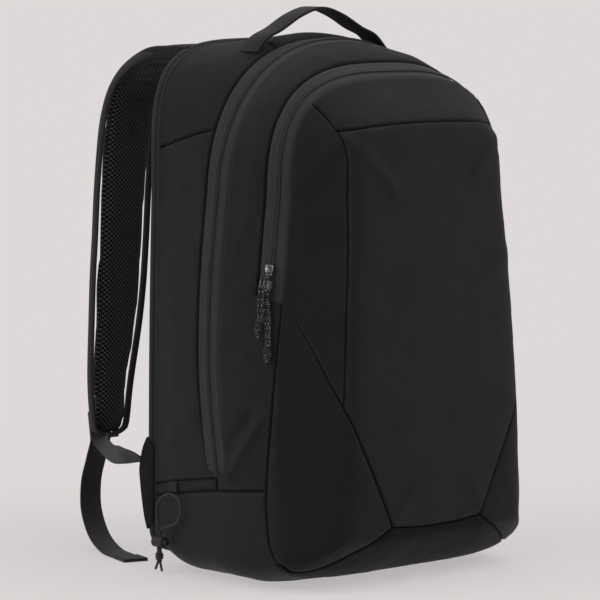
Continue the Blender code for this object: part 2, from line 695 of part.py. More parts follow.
def zip_pulls(metal, cord, rubber):
    mesh = slider_mesh(metal)
    for zip_name, place, y, side, z, strands, knot in PULLS:
        q = side_q(z)
        push = body_point(y, q, side).y - y
        out = -inward(y, q, side)
        up = (body_point(y, side_q(z + 0.01), side) - body_point(y, side_q(z - 0.01), side)).normalized()
        third = up.cross(out)
        obj = bpy.data.objects.new(zip_name + "_slider_" + place, mesh)
        bpy.context.collection.objects.link(obj)
        place_matrix = Matrix((out, third, up)).transposed().to_4x4()
        place_matrix.translation = body_point(y, q, side)
        obj.matrix_world = place_matrix
        pull = zip_name + "_pull_" + place

        def spot(dy, drop, lift, y=y + push, z=z, side=side):
            return off_shell(y + dy, z - drop, side, lift)

        for word, strand in zip(("a", "b"), strands):
            tube(pull + "_cord_" + word, [spot(*p) for p in strand], CORD, cord, 10)
        turned(pull + "_knot", spot(*knot), (0, 0, 1), KNOT_PROFILE, rubber)


# ---------------------------------------------------------------- elastic cord loop
LOOP_X = -0.1612
LOOP_CORD = 0.0026
LOOP_REAR = ((0.0547, 0.0768), (0.0640, 0.0735), (0.0712, 0.0635), (0.0712, 0.0530), (0.0697, 0.0440),
             (0.0697, 0.0340), (0.0697, 0.0225))
LOOP_FRONT = ((0.0515, 0.0768), (0.0425, 0.0735), (0.0370, 0.0630), (0.0430, 0.0510), (0.0570, 0.0455),
              (0.0663, 0.0410), (0.0663, 0.0330), (0.0663, 0.0225))
LOCK_Y, LOCK_Z = 0.0680, 0.0300
BUTTON_FACE = LOCK_Y - 0.0075


def cord_loop(cord, plastic, metal, cloth):
    tab = [(0.0005, -0.0055), (0.0030, -0.0055), (0.0030, 0.0055), (0.0005, 0.0055)]
    rings = []
    for z in (0.0790, 0.0880):
        surface = off_shell(0.0530, z, -1, 0.0)
        rings.append([surface + Vector((-out - 0.0004, dy, 0.0)) for out, dy in tab])
    loft_solid("cord_loop_tab", rings, cloth)
    for word, route in (("rear", LOOP_REAR), ("front", LOOP_FRONT)):
        points = [(LOOP_X + 0.0012 * (z > 0.07), y, z) for y, z in route]
        tube("loop_cord_" + word, points, LOOP_CORD, cord, 15)
    turned("loop_knot", (LOOP_X, 0.0680, 0.0165), (0, 0, 1),
           ((-0.0048, 0.0014), (-0.0036, 0.0036), (0.0, 0.0044), (0.0036, 0.0036), (0.0054, 0.0014)), cord)

    barrel = turned("cord_lock_barrel", (LOOP_X, LOCK_Y, LOCK_Z), (0, 1, 0),
                    ((-0.0075, 0.0044), (-0.0067, 0.0052), (0.0060, 0.0052), (0.0075, 0.0036)), plastic, 16)
    slot = box_cutter("cord_lock_slot", (LOOP_X, LOCK_Y, LOCK_Z), (0.0036, 0.0068, 0.03))
    bore = turned("cord_lock_bore", (LOOP_X, LOCK_Y, LOCK_Z), (0, 1, 0),
                  ((-0.0100, 0.0036), (-0.0040, 0.0036)), plastic, 12)
    for cutter in (slot, bore):
        cutter.hide_render = True
        cutter.display_type = "WIRE"
        cut = barrel.modifiers.new(cutter.name, "BOOLEAN")
        cut.operation = "DIFFERENCE"
        cut.solver = "EXACT"
        cut.object = cutter
    turned("cord_lock_button", (LOOP_X, BUTTON_FACE, LOCK_Z), (0, 1, 0),
           ((-0.0040, 0.0026), (-0.0034, 0.0032), (-0.0004, 0.0032), (-0.0003, 0.0013), (0.0008, 0.0013)),
           plastic, 12)
    coil = []
    turns, per_turn, wire, radius = 3, 9, 0.0003, 0.0025
    for k in range(turns * per_turn + 1):
        a = 2 * math.pi * k / per_turn
        y = BUTTON_FACE + GAP + 0.0026 * k / (turns * per_turn)
        coil.append(Vector((LOOP_X + radius * math.cos(a), y, LOCK_Z + radius * math.sin(a))))
    rings = []
    for k, p in enumerate(coil):
        a = 2 * math.pi * k / per_turn
        out = Vector((math.cos(a), 0.0, math.sin(a)))
        rings.append([p + out * wire * math.cos(b) + Vector((0, 1, 0)) * wire * math.sin(b)
                      for b in (2 * math.pi * i / 5 for i in range(5))])
    loft_solid("cord_lock_spring", rings, metal)


def box_cutter(name, centre, size):
    bpy.ops.mesh.primitive_cube_add(size=1, location=centre)
    cutter = bpy.context.object
    cutter.name = name
    cutter.data.transform(Matrix.Diagonal((*size, 1.0)))
    return cutter


def main():
    clear_scene()
    cloth = make_material("face_fabric", BLACK, 0.75)
    coated = make_material("coated_fabric", (0.024, 0.024, 0.025), 0.6)
    mesh_cloth = make_material("air_mesh", (0.018, 0.018, 0.018), 0.9)
    lining = make_material("lining", (0.05, 0.05, 0.055), 0.8)
    tape = make_material("zip_tape", (0.03, 0.03, 0.032), 0.7)
    coil = make_material("zip_coil", (0.025, 0.025, 0.026), 0.45)
    webbing = make_material("webbing", (0.03, 0.03, 0.031), 0.65)
    plastic = make_material("plastic", (0.015, 0.015, 0.016), 0.4)
    metal = make_material("dark_metal", (0.18, 0.18, 0.19), 0.35, 1.0)
    cord = make_material("cord", (0.03, 0.03, 0.03), 0.7)
    rubber = make_material("rubber", (0.02, 0.02, 0.02), 0.5)

    rear_half(cloth, tape, coil, webbing)
    boot(coated)
    mid_half(cloth, tape, coil, lining)
    front_zip_inner(tape, coil)
    cap_panels(cloth, coated)
    back_wall(mesh_cloth, plastic, lining)
    for word, side in (("left", -1), ("right", 1)):
        shoulder_strap(word, side, mesh_cloth, webbing, plastic, cloth)
    top_handle(webbing, cloth)
    zip_pulls(metal, cord, rubber)
    cord_loop(cord, plastic, metal, cloth)


main()
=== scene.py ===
"""School backpack: the visual model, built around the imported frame.

Every fabric piece is a grid laid over the bag's own surface (shell and cap below are the
same two surfaces that the solids were cut from), with seams that sink, puckers beside
them and a few folds.  Pads are inflated by a cloth simulation.
"""
import math

import bmesh
import bpy
import numpy as np
from mathutils import Matrix, Vector, noise


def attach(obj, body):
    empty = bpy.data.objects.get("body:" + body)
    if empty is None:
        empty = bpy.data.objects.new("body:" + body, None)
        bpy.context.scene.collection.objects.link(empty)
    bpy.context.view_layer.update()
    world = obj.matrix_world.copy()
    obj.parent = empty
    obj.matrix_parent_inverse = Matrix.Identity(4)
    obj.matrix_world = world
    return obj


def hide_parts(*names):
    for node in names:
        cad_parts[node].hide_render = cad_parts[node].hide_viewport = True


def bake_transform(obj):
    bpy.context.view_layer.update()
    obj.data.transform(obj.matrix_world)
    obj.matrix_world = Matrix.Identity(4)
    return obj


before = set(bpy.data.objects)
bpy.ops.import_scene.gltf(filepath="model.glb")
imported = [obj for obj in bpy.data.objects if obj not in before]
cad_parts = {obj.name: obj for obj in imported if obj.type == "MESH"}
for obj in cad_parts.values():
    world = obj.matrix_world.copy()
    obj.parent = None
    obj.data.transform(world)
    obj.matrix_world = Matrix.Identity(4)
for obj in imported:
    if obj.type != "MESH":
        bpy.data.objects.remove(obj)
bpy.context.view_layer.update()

# ---------------------------------------------------------------- the bag's surfaces
REAR_Y = 0.095              # plane of the sewn rear edge
FRONT_Y = -0.083            # plane of the sewn front edge
CORNER_Z = 0.055            # top of the bottom corners
SHOULDER_Z = 0.36           # where the sides start to arch over
BULGE_BACK = 0.008          # how far the middle of each side is pushed back
# y, bottom z, half width low, half width at the shoulder, top z, power of the top arch
STATIONS = np.array((
    (0.095, 0.012, 0.1465, 0.1415, 0.497, 4.3),
    (0.055, -0.002, 0.1540, 0.1440, 0.500, 3.2),
    (0.004, -0.002, 0.1580, 0.1460, 0.502, 2.2),
    (-0.040, -0.002, 0.1570, 0.1420, 0.491, 2.5),
    (-0.083, 0.006, 0.1520, 0.1340, 0.4685, 3.1),
))
BOTTOM_POWER = 4.5
CAP_RISE = 0.056            # how far the front face stands out from the front edge
CAP_MARGIN = 0.040          # width of its rounded margin
CAP_SWELL = 0.006           # extra bulge in its middle

MAIN_ZIP_HALF = 0.0145
FRONT_ZIP_Y = -0.070
FRONT_ZIP_HALF = 0.013
FRONT_ZIP_END = 0.27
COIL_HALF = 0.0028
TOOTH_PITCH = 0.0021

FABRIC = 0.0022             # face cloth, foam and lining together
TAPE = 0.0010
GAP = 0.0003                # kept between two pieces that meet
SEAM_DIP = 0.0027           # how deep a sewn edge turns in
SEAM_REACH = 0.0013         # how far from the edge it starts to turn
PITCH = 0.0030              # mesh size of the fabric

# Seams of the front face, in x and z, on the left side.
APEX = (-0.1425, 0.2700)
FOOT = (-0.0570, 0.0565)
DIAGONAL = (APEX, (-0.1290, 0.2290), (-0.1130, 0.1720), (-0.0965, 0.1350), (-0.0750, 0.0930), FOOT)
KNEE = 2                    # the diagonal's point where the upright seam starts
UPRIGHT = ((-0.1130, 0.1720), (-0.1080, 0.2520), (-0.1020, 0.3290), (-0.0995, 0.3780), (-0.0985, 0.4090),
           (-0.1000, 0.4220))
BOTTOM_SEAM = (FOOT, (-0.0220, 0.0535), (0.0220, 0.0535), (0.0570, 0.0565))
TOE = (FOOT, (-0.0750, 0.0460), (-0.0960, 0.0350), (-0.1150, 0.0245), (-0.1290, 0.0190), (-0.1400, 0.0195))
HEEL_Z = 0.026              # where the toe seam reaches the front edge
YOKE_Z = 0.4470             # where the yoke's sides meet the front edge
YOKE_SEAM = (UPRIGHT[-1], (-0.0600, 0.4265), (0.0, 0.4280), (0.0600, 0.4265), (0.1000, 0.4220))
SPLIT_Z = 0.215             # the face is cut here, between the two fold lines
SIDES = (("left", -1), ("right", 1))

# Bodies at the two openings, with two heights for each; a piece given one keeps its place, its transform
# baked in.
LOW_BEND = ("root", "front_half", (0, 0, 0.0875), (0, 0, 0.165))
HIGH_BEND = ("front_half", "front_flap", (0, 0, 0.262), (0, 0, 0.33))


def spline(p0, p1, p2, p3, t):
    """Catmull-Rom curve from p1 to p2."""
    return 0.5 * (2 * p1 + (p2 - p0) * t + (2 * p0 - 5 * p1 + 4 * p2 - p3) * t * t
                  + (3 * p1 - p0 - 3 * p2 + p3) * t ** 3)


def station(y):
    """Outline values at depths y, smoothly between the stations."""
    k = (y[..., None] < STATIONS[1:-1, 0]).sum(-1)
    p1, p2 = STATIONS[k], STATIONS[k + 1]
    p0 = STATIONS[np.maximum(k - 1, 0)]
    p3 = STATIONS[np.minimum(k + 2, len(STATIONS) - 1)]
    t = ((y - p1[..., 0]) / (p2[..., 0] - p1[..., 0]))[..., None]
    return spline(p0, p1, p2, p3, t)


def superellipse(angle, power):
    """Point of a unit superellipse, whose corners are squarer the higher the power."""
    c, s = np.cos(angle), np.sin(angle)
    r = (np.abs(c) ** power + np.abs(s) ** power) ** (-1.0 / power)
    return c * r, s * r


def shell(y, q, side):
    """Points of the bag's sides: q runs 0-1 under the base, 1-2 up the side, 2-3 over."""
    y, q, side = np.broadcast_arrays(*(np.asarray(v, float) for v in (y, q, side)))
    bottom, low, high, top, power = np.moveaxis(station(y), -1, 0)[1:]
    x0, z0 = superellipse(np.pi / 2 * (1 - np.clip(q, 0, 1)), BOTTOM_POWER)
    z0 = np.maximum(CORNER_Z - (CORNER_Z - bottom) * z0, 0.0)
    t = np.clip(q - 1, 0, 1)
    x2, z2 = superellipse(np.pi / 2 * np.clip(q - 2, 0, 1), power)
    x = np.where(q <= 1, low * x0, np.where(q <= 2, low + (high - low) * t * t, high * x2))
    z = np.where(q <= 1, z0, np.where(q <= 2, CORNER_Z + (SHOULDER_Z - CORNER_Z) * t,
                                      SHOULDER_Z + (top - SHOULDER_Z) * z2))
    depth = (REAR_Y - y) / (REAR_Y - FRONT_Y)
    rise = np.clip((z - CORNER_Z) / (0.46 - CORNER_Z), 0, 1)
    push = BULGE_BACK * np.sin(np.pi * depth) * np.sin(np.pi * rise) ** 2
    return np.stack([side * x, y + push, z], -1)


def side_q(z):
    """Place on the side at height z, as shell() takes it."""
    return 1.0 + (z - CORNER_Z) / (SHOULDER_Z - CORNER_Z)


def turn_at(z):
    """Turn at height z on the right side, as over() takes it."""
    return 3 - side_q(z)


def over(y, turn):
    """Shell point by turn: -3 to 0 from the base up the left side to the top, 0 to 3 down."""
    return shell(y, 3.0 - np.abs(turn), np.where(np.asarray(turn) < 0, -1.0, 1.0))


def under(y, turn):
    """Shell point by turn, 0 under the middle of the base, below zero on the left."""
    return shell(y, np.abs(turn), np.where(np.asarray(turn) < 0, -1.0, 1.0))


def unit(v):
    return v / np.maximum(np.linalg.norm(v, axis=-1, keepdims=True), 1e-12)


def normals_of(surface, a, b, step_a, step_b):
    """Unit normals of a surface of two parameters, by differences."""
    da = surface(a + step_a, b) - surface(a - step_a, b)
    db = surface(a, b + step_b) - surface(a, b - step_b)
    return unit(np.cross(da, db))


def away_from(points, normals, centre):
    """The normals, all turned away from a centre."""
    sign = np.sign(((points - centre) * normals).sum(-1, keepdims=True))
    return normals * np.where(sign == 0, 1.0, sign)


MIDDLE = np.array((0.0, 0.0, 0.25))


EDGE_STEPS = 96             # steps along each half of the front edge
EDGE_FOOT = 16              # its first point where the bottom corner has begun


def front_edge():
    """The front edge in x and z, a closed outline."""
    left = shell(FRONT_Y, np.linspace(0, 3, EDGE_STEPS + 1), -1)[:, [0, 2]]
    return np.concatenate([left, left[1:-1][::-1] * (-1, 1)])


EDGE = front_edge()
EDGE_SIDE = EDGE[EDGE_FOOT:EDGE_STEPS + 1]


def edge_distance(x, z):
    """Distance of points in x and z to the front edge."""
    p = np.stack([x, z], -1)[..., None, :]
    along = np.roll(EDGE, -1, 0) - EDGE
    t = np.clip(((p - EDGE) * along).sum(-1) / (along ** 2).sum(-1), 0, 1)
    return np.linalg.norm(EDGE + along * t[..., None] - p, axis=-1).min(-1)


def cap(x, z):
    """Points of the front face above x and z."""
    x, z = np.broadcast_arrays(np.asarray(x, float), np.asarray(z, float))
    low = np.clip((0.14 - z) / 0.12, 0, 1)
    ratio = np.minimum(edge_distance(x, z) / CAP_MARGIN, 1.6)
    soft = 0.16
    flat = 0.5 * (ratio + 1 - np.sqrt((ratio - 1) ** 2 + soft ** 2) + (math.sqrt(1 + soft ** 2) - 1))
    round_ = np.sqrt(np.maximum(1 - (1 - np.minimum(ratio, 1)) ** 2, 0))
    rise = CAP_RISE - 0.012 * np.clip((z - 0.16) / 0.30, 0, 1)
    rise = rise * (flat + (round_ - flat) * 0.45 * low)
    swell = CAP_SWELL * np.maximum(0, 1 - (x / 0.13) ** 2) * np.sin(np.pi * np.clip(z / 0.46, 0, 1))
    return np.stack([x, FRONT_Y - rise - swell * np.minimum(ratio, 1), z], -1)


def edge_x(z):
    """Half width of the front edge at height z."""
    return -np.interp(z, EDGE_SIDE[:, 1], EDGE_SIDE[:, 0])


# ---------------------------------------------------------------- mesh helpers
def new_object(name, verts, faces, materials, smooth=50):
    mesh = bpy.data.meshes.new(name)
    mesh.from_pydata([tuple(v) for v in verts], [], faces)
    for material in materials:
        mesh.materials.append(material)
    mesh.shade_smooth()
    mesh.set_sharp_from_angle(angle=math.radians(smooth))
    obj = bpy.data.objects.new(name, mesh)
    bpy.context.collection.objects.link(obj)
    return obj


def set_uv(obj, uv):
    """One UV pair, in metres, for each vertex."""
    mesh = obj.data
    layer = mesh.uv_layers.get("UVMap") or mesh.uv_layers.new(name="UVMap")
    index = np.empty(len(mesh.loops), np.int32)
    mesh.loops.foreach_get("vertex_index", index)
    layer.data.foreach_set("uv", np.asarray(uv, np.float32)[index].ravel())


def vertices(obj):
    co = np.empty(len(obj.data.vertices) * 3)
    obj.data.vertices.foreach_get("co", co)
    return co.reshape(-1, 3)


def set_vertices(obj, co):
    obj.data.vertices.foreach_set("co", co.ravel())


def cover_with(obj, *materials):
    """Gives the piece these materials in place of its own."""
    obj.data.materials.clear()
    for material in materials:
        obj.data.materials.append(material)


def face_outward(obj):
    """Turns the faces of a closed mesh outward."""
    work = bmesh.new()
    work.from_mesh(obj.data)
    bmesh.ops.recalc_face_normals(work, faces=work.faces)
    work.to_mesh(obj.data)
    work.free()


def length_of(line):
    return float(np.linalg.norm(np.diff(line, axis=0), axis=1).sum())


def run_length(points, axis):
    """Length run along one axis of a grid of points, from its first line."""
    gaps = np.linalg.norm(np.diff(points, axis=axis), axis=-1)
    start = np.zeros_like(np.take(gaps, [0], axis=axis))
    return np.concatenate([start, np.cumsum(gaps, axis=axis)], axis=axis)


def soft_noise(points, scale, seed):
    """Smooth noise over a grid of points, its bumps about scale apart."""
    flat = points.reshape(-1, 3) / scale + seed
    return np.array([noise.noise(p) for p in flat]).reshape(points.shape[:-1])


def steps(length, pitch=PITCH):
    """Parameters 0-1 along an edge: evenly spaced, and closer at both seams."""
    fine = np.array((0.0, 0.0004, 0.0009, 0.0016, 0.0030)) / length
    if length < 0.02:
        fine = fine[:3]
    inner = max(int(round(length * (1 - 2 * fine[-1]) / pitch)), 1)
    middle = np.linspace(fine[-1], 1 - fine[-1], inner + 1)
    return np.concatenate([fine[:-1], middle, 1 - fine[:-1][::-1]])


# Folds of the cloth: two ends, half width and height of each ridge or valley.
FOLDS = (
    ((0.0, 0.040, 0.503), (-0.060, 0.040, 0.497), 0.0300, 0.0026),
    ((0.0, 0.040, 0.503), (0.060, 0.040, 0.497), 0.0300, 0.0026),
    ((-0.096, -0.118, 0.412), (-0.052, -0.133, 0.371), 0.0050, 0.0042),
    ((-0.099, -0.118, 0.398), (-0.060, -0.133, 0.360), 0.0060, -0.0030),
    ((-0.084, -0.128, 0.415), (-0.040, -0.134, 0.385), 0.0080, -0.0016),
    ((-0.110, -0.110, 0.400), (-0.132, -0.092, 0.372), 0.0070, 0.0022),
    ((-0.104, -0.122, 0.350), (-0.072, -0.133, 0.332), 0.0090, 0.0012),
    ((-0.108, -0.130, 0.262), (-0.070, -0.136, 0.252), 0.0100, 0.0012),
    ((-0.155, -0.064, 0.155), (-0.158, -0.024, 0.098), 0.0048, 0.0040),
    ((-0.155, -0.050, 0.160), (-0.158, -0.016, 0.118), 0.0060, -0.0026),
    ((-0.152, -0.056, 0.290), (-0.157, -0.020, 0.262), 0.0080, 0.0018),
    ((-0.150, -0.048, 0.352), (-0.150, -0.022, 0.318), 0.0080, 0.0016),
    ((-0.149, -0.052, 0.236), (-0.158, -0.018, 0.222), 0.0090, -0.0014),
    ((-0.158, 0.030, 0.150), (-0.156, 0.072, 0.120), 0.0100, 0.0014),
    ((-0.150, 0.030, 0.330), (-0.148, 0.078, 0.352), 0.0120, -0.0014),
    ((-0.145, 0.085, 0.250), (-0.156, 0.035, 0.226), 0.0120, 0.0014),
    ((-0.142, -0.090, 0.020), (-0.120, -0.104, 0.040), 0.0070, 0.0016),
    ((0.156, -0.062, 0.160), (0.158, -0.026, 0.105), 0.0050, 0.0036),
    ((0.152, -0.054, 0.300), (0.156, -0.020, 0.270), 0.0080, 0.0018),
    ((0.096, -0.118, 0.410), (0.058, -0.133, 0.380), 0.0060, 0.0030),
    ((0.104, -0.126, 0.300), (0.060, -0.136, 0.276), 0.0100, 0.0014),
    ((0.060, -0.140, 0.064), (0.044, -0.143, 0.090), 0.0060, 0.0016),
    ((-0.056, -0.140, 0.060), (-0.030, -0.143, 0.092), 0.0070, 0.0014),
    ((0.158, 0.032, 0.160), (0.156, 0.074, 0.126), 0.0100, 0.0014),
    ((-0.040, -0.070, 0.476), (-0.055, -0.020, 0.492), 0.0100, 0.0014),
    ((0.050, -0.068, 0.472), (0.072, -0.022, 0.482), 0.0100, 0.0014),
)


def fold_height(points):
    """Height that the folds add at each point; a fold fades towards its second end."""
    total = np.zeros(points.shape[:-1])
    for a, b, width, height in FOLDS:
        a, b = np.array(a), np.array(b)
        t = ((points - a) @ (b - a)) / ((b - a) @ (b - a))
        off = np.linalg.norm(points - (a + np.clip(t, 0, 1)[..., None] * (b - a)), axis=-1)
        total += height * np.exp(-(off / width) ** 2) * (1 - 0.6 * np.clip(t, 0, 1))
    return total


def panel(name, points, normals, materials, sewn="wens", thick=FABRIC, life=1.0, uv_turn=False):
    """Closed piece of cloth over a grid of points.

    sewn names the edges that turn in at a seam: w and e are the grid's first and last
    columns, s and n its first and last rows.  life scales its unevenness.
    """
    rows, cols = points.shape[:2]
    across, along = run_length(points, 1), run_length(points, 0)
    reach = {"w": across, "e": across[:, -1:] - across, "s": along, "n": along[-1:] - along}
    near = np.min([reach[k] for k in sewn] or [np.full((rows, cols), 1.0)], axis=0)
    height = -SEAM_DIP * np.exp(-(near / SEAM_REACH) ** 2)
    if life:
        inner = 1 - np.exp(-near / 0.016)
        height += life * 0.0007 * inner
        puckers = np.exp(-near / 0.0075)
        for share, amount, scale, seed in ((inner, 0.0011, 0.055, 3.1), (0.3 + inner, 0.00038, 0.019, 7.7),
                                           (puckers, 0.00055, 0.0065, 1.3)):
            height += life * amount * share * soft_noise(points, scale, seed)
        height += fold_height(points) * (1 - np.exp(-near / 0.004))
    outer = points + normals * height[..., None]
    inner_side = outer - normals * thick
    verts = np.concatenate([outer.reshape(-1, 3), inner_side.reshape(-1, 3)])
    faces, kinds = grid_shell_faces(rows, cols)
    middle = (rows // 2) * cols + cols // 2
    a, b, c = verts[middle], verts[middle + 1], verts[middle + cols]
    if np.dot(np.cross(b - a, c - a), normals[rows // 2, cols // 2]) < 0:
        faces = [f[::-1] for f in faces]
    obj = new_object(name, verts, faces, materials)
    obj.data.polygons.foreach_set("material_index", np.minimum(kinds, len(materials) - 1))
    uv = np.stack([along, across] if uv_turn else [across, along], -1).reshape(-1, 2)
    set_uv(obj, np.concatenate([uv, uv]))
    # Painted light by the seams: below zero in the seam, where it is painted shade, above zero on the lip
    # beside it, where it is a painted highlight.
    seam_shade_and_lip_highlight = (np.exp(-((near - 0.0024) / 0.0009) ** 2) - np.exp(-(near / 0.0012) ** 2)).reshape(-1)
    seam_shade_and_lip_highlight *= bool(sewn)
    mask = obj.data.attributes.new("seam_shade_and_lip_highlight", "FLOAT", "POINT")
    mask.data.foreach_set("value", np.concatenate([seam_shade_and_lip_highlight, seam_shade_and_lip_highlight]).astype(np.float32))
    return obj


def grid_shell_faces(rows, cols):
    """Faces of the outer grid, the inner grid and the rim, and 1 for each inner face."""
    r, c = np.meshgrid(np.arange(rows - 1), np.arange(cols - 1), indexing="ij")
    a = (r * cols + c).ravel()
    top = np.stack([a, a + 1, a + cols + 1, a + cols], -1)
    shift = rows * cols
    faces = [tuple(f) for f in top.tolist()] + [tuple(f) for f in (top[:, ::-1] + shift).tolist()]
    kinds = [0] * len(top) + [1] * len(top)
    loop = [k * cols for k in range(rows)] + [(rows - 1) * cols + k for k in range(1, cols)]
    loop += [k * cols + cols - 1 for k in range(rows - 2, -1, -1)] + list(range(cols - 2, 0, -1))
    for p, q in zip(loop, loop[1:] + loop[:1]):
        faces.append((p, q, q + shift, p + shift))
    return faces, np.array(kinds + [0] * len(loop), np.int32)


def loft(name, rings, materials, closed=False, smooth=50):
    """Closed solid through equal rings; UV runs round each ring and along the way."""
    rings = np.asarray(rings, float)
    count, size = rings.shape[:2]
    faces = []
    for r in range(count if closed else count - 1):
        n = (r + 1) % count
        for k in range(size):
            j = (k + 1) % size
            faces.append((r * size + k, r * size + j, n * size + j, n * size + k))
    if not closed:
        faces.append(tuple(reversed(range(size))))
        faces.append(tuple((count - 1) * size + k for k in range(size)))
    obj = new_object(name, rings.reshape(-1, 3), faces, materials, smooth)
    face_outward(obj)
    set_uv(obj, np.stack([run_length(rings, 1), run_length(rings, 0)], -1).reshape(-1, 2))
    return obj


def smooth_line(points, count):
    """Evenly spaced points on a smooth curve through the given ones."""
    p = np.asarray(points, float)
    p = np.concatenate([[2 * p[0] - p[1]], p, [2 * p[-1] - p[-2]]])
    fine = []
    for k in range(1, len(p) - 2):
        t = np.linspace(0, 1, 24, endpoint=False)[:, None]
        p0, p1, p2, p3 = p[k - 1:k + 3]
        fine.append(spline(p0, p1, p2, p3, t))
    fine = np.concatenate([*fine, [p[-2]]])
    return at_shares(fine, np.linspace(0, 1, count))


def at_shares(points, shares):
    """Points at the given shares of a polyline's length."""
    run = run_length(points, 0)
    return np.stack([np.interp(np.asarray(shares) * run[-1], run, points[:, k])
                     for k in range(points.shape[1])], -1)


def mirrored(points):
    """The line on the other side of the bag."""
    return [(-p[0], *p[1:]) for p in points]


def tube(name, points, radius, material, sides=12):
    """Round cord along evenly spaced points, with rounded ends."""
    points = np.asarray(points, float)
    way = unit(np.gradient(points, axis=0))
    side = unit(np.cross(way[0], (0.31, 0.87, 0.17)))
    rings = []
    angles = np.linspace(0, 2 * np.pi, sides, endpoint=False)
    for p, w in zip(points, way):
        side = unit(side - w * (side @ w))
        third = np.cross(w, side)
        rings.append(p + radius * (np.cos(angles)[:, None] * side + np.sin(angles)[:, None] * third))
    first, last = rings[0] - points[0], rings[-1] - points[-1]
    for share, shift in ((0.86, 0.45), (0.5, 0.8)):
        rings.insert(0, points[0] + first * share - way[0] * radius * shift)
        rings.append(points[-1] + last * share + way[-1] * radius * shift)
    return loft(name, rings, [material])


def join(name, objects):
    """Several new objects as one."""
    work = bmesh.new()
    materials = []
    for obj in objects:
        for material in obj.data.materials:
            if material not in materials:
                materials.append(material)
    for obj in objects:
        order = [materials.index(m) for m in obj.data.materials]
        start = len(work.faces)
        work.from_mesh(obj.data)
        work.faces.ensure_lookup_table()
        for face in work.faces[start:]:
            face.material_index = order[face.material_index]
    mesh = bpy.data.meshes.new(name)
    work.to_mesh(mesh)
    work.free()
    for material in materials:
        mesh.materials.append(material)
    for obj in objects:
        bpy.data.objects.remove(obj, do_unlink=True)
    joined = bpy.data.objects.new(name, mesh)
    bpy.context.collection.objects.link(joined)
    return joined


def put(obj, body, slot, *nodes):
    """The piece rides on one body; given two bodies it keeps its place, its transform baked in. It may stand
    for CAD nodes, which are hidden.
    """
    if isinstance(body, str):
        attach(obj, body)
    else:
        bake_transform(obj)
    if nodes:
        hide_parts(*nodes)
    return obj


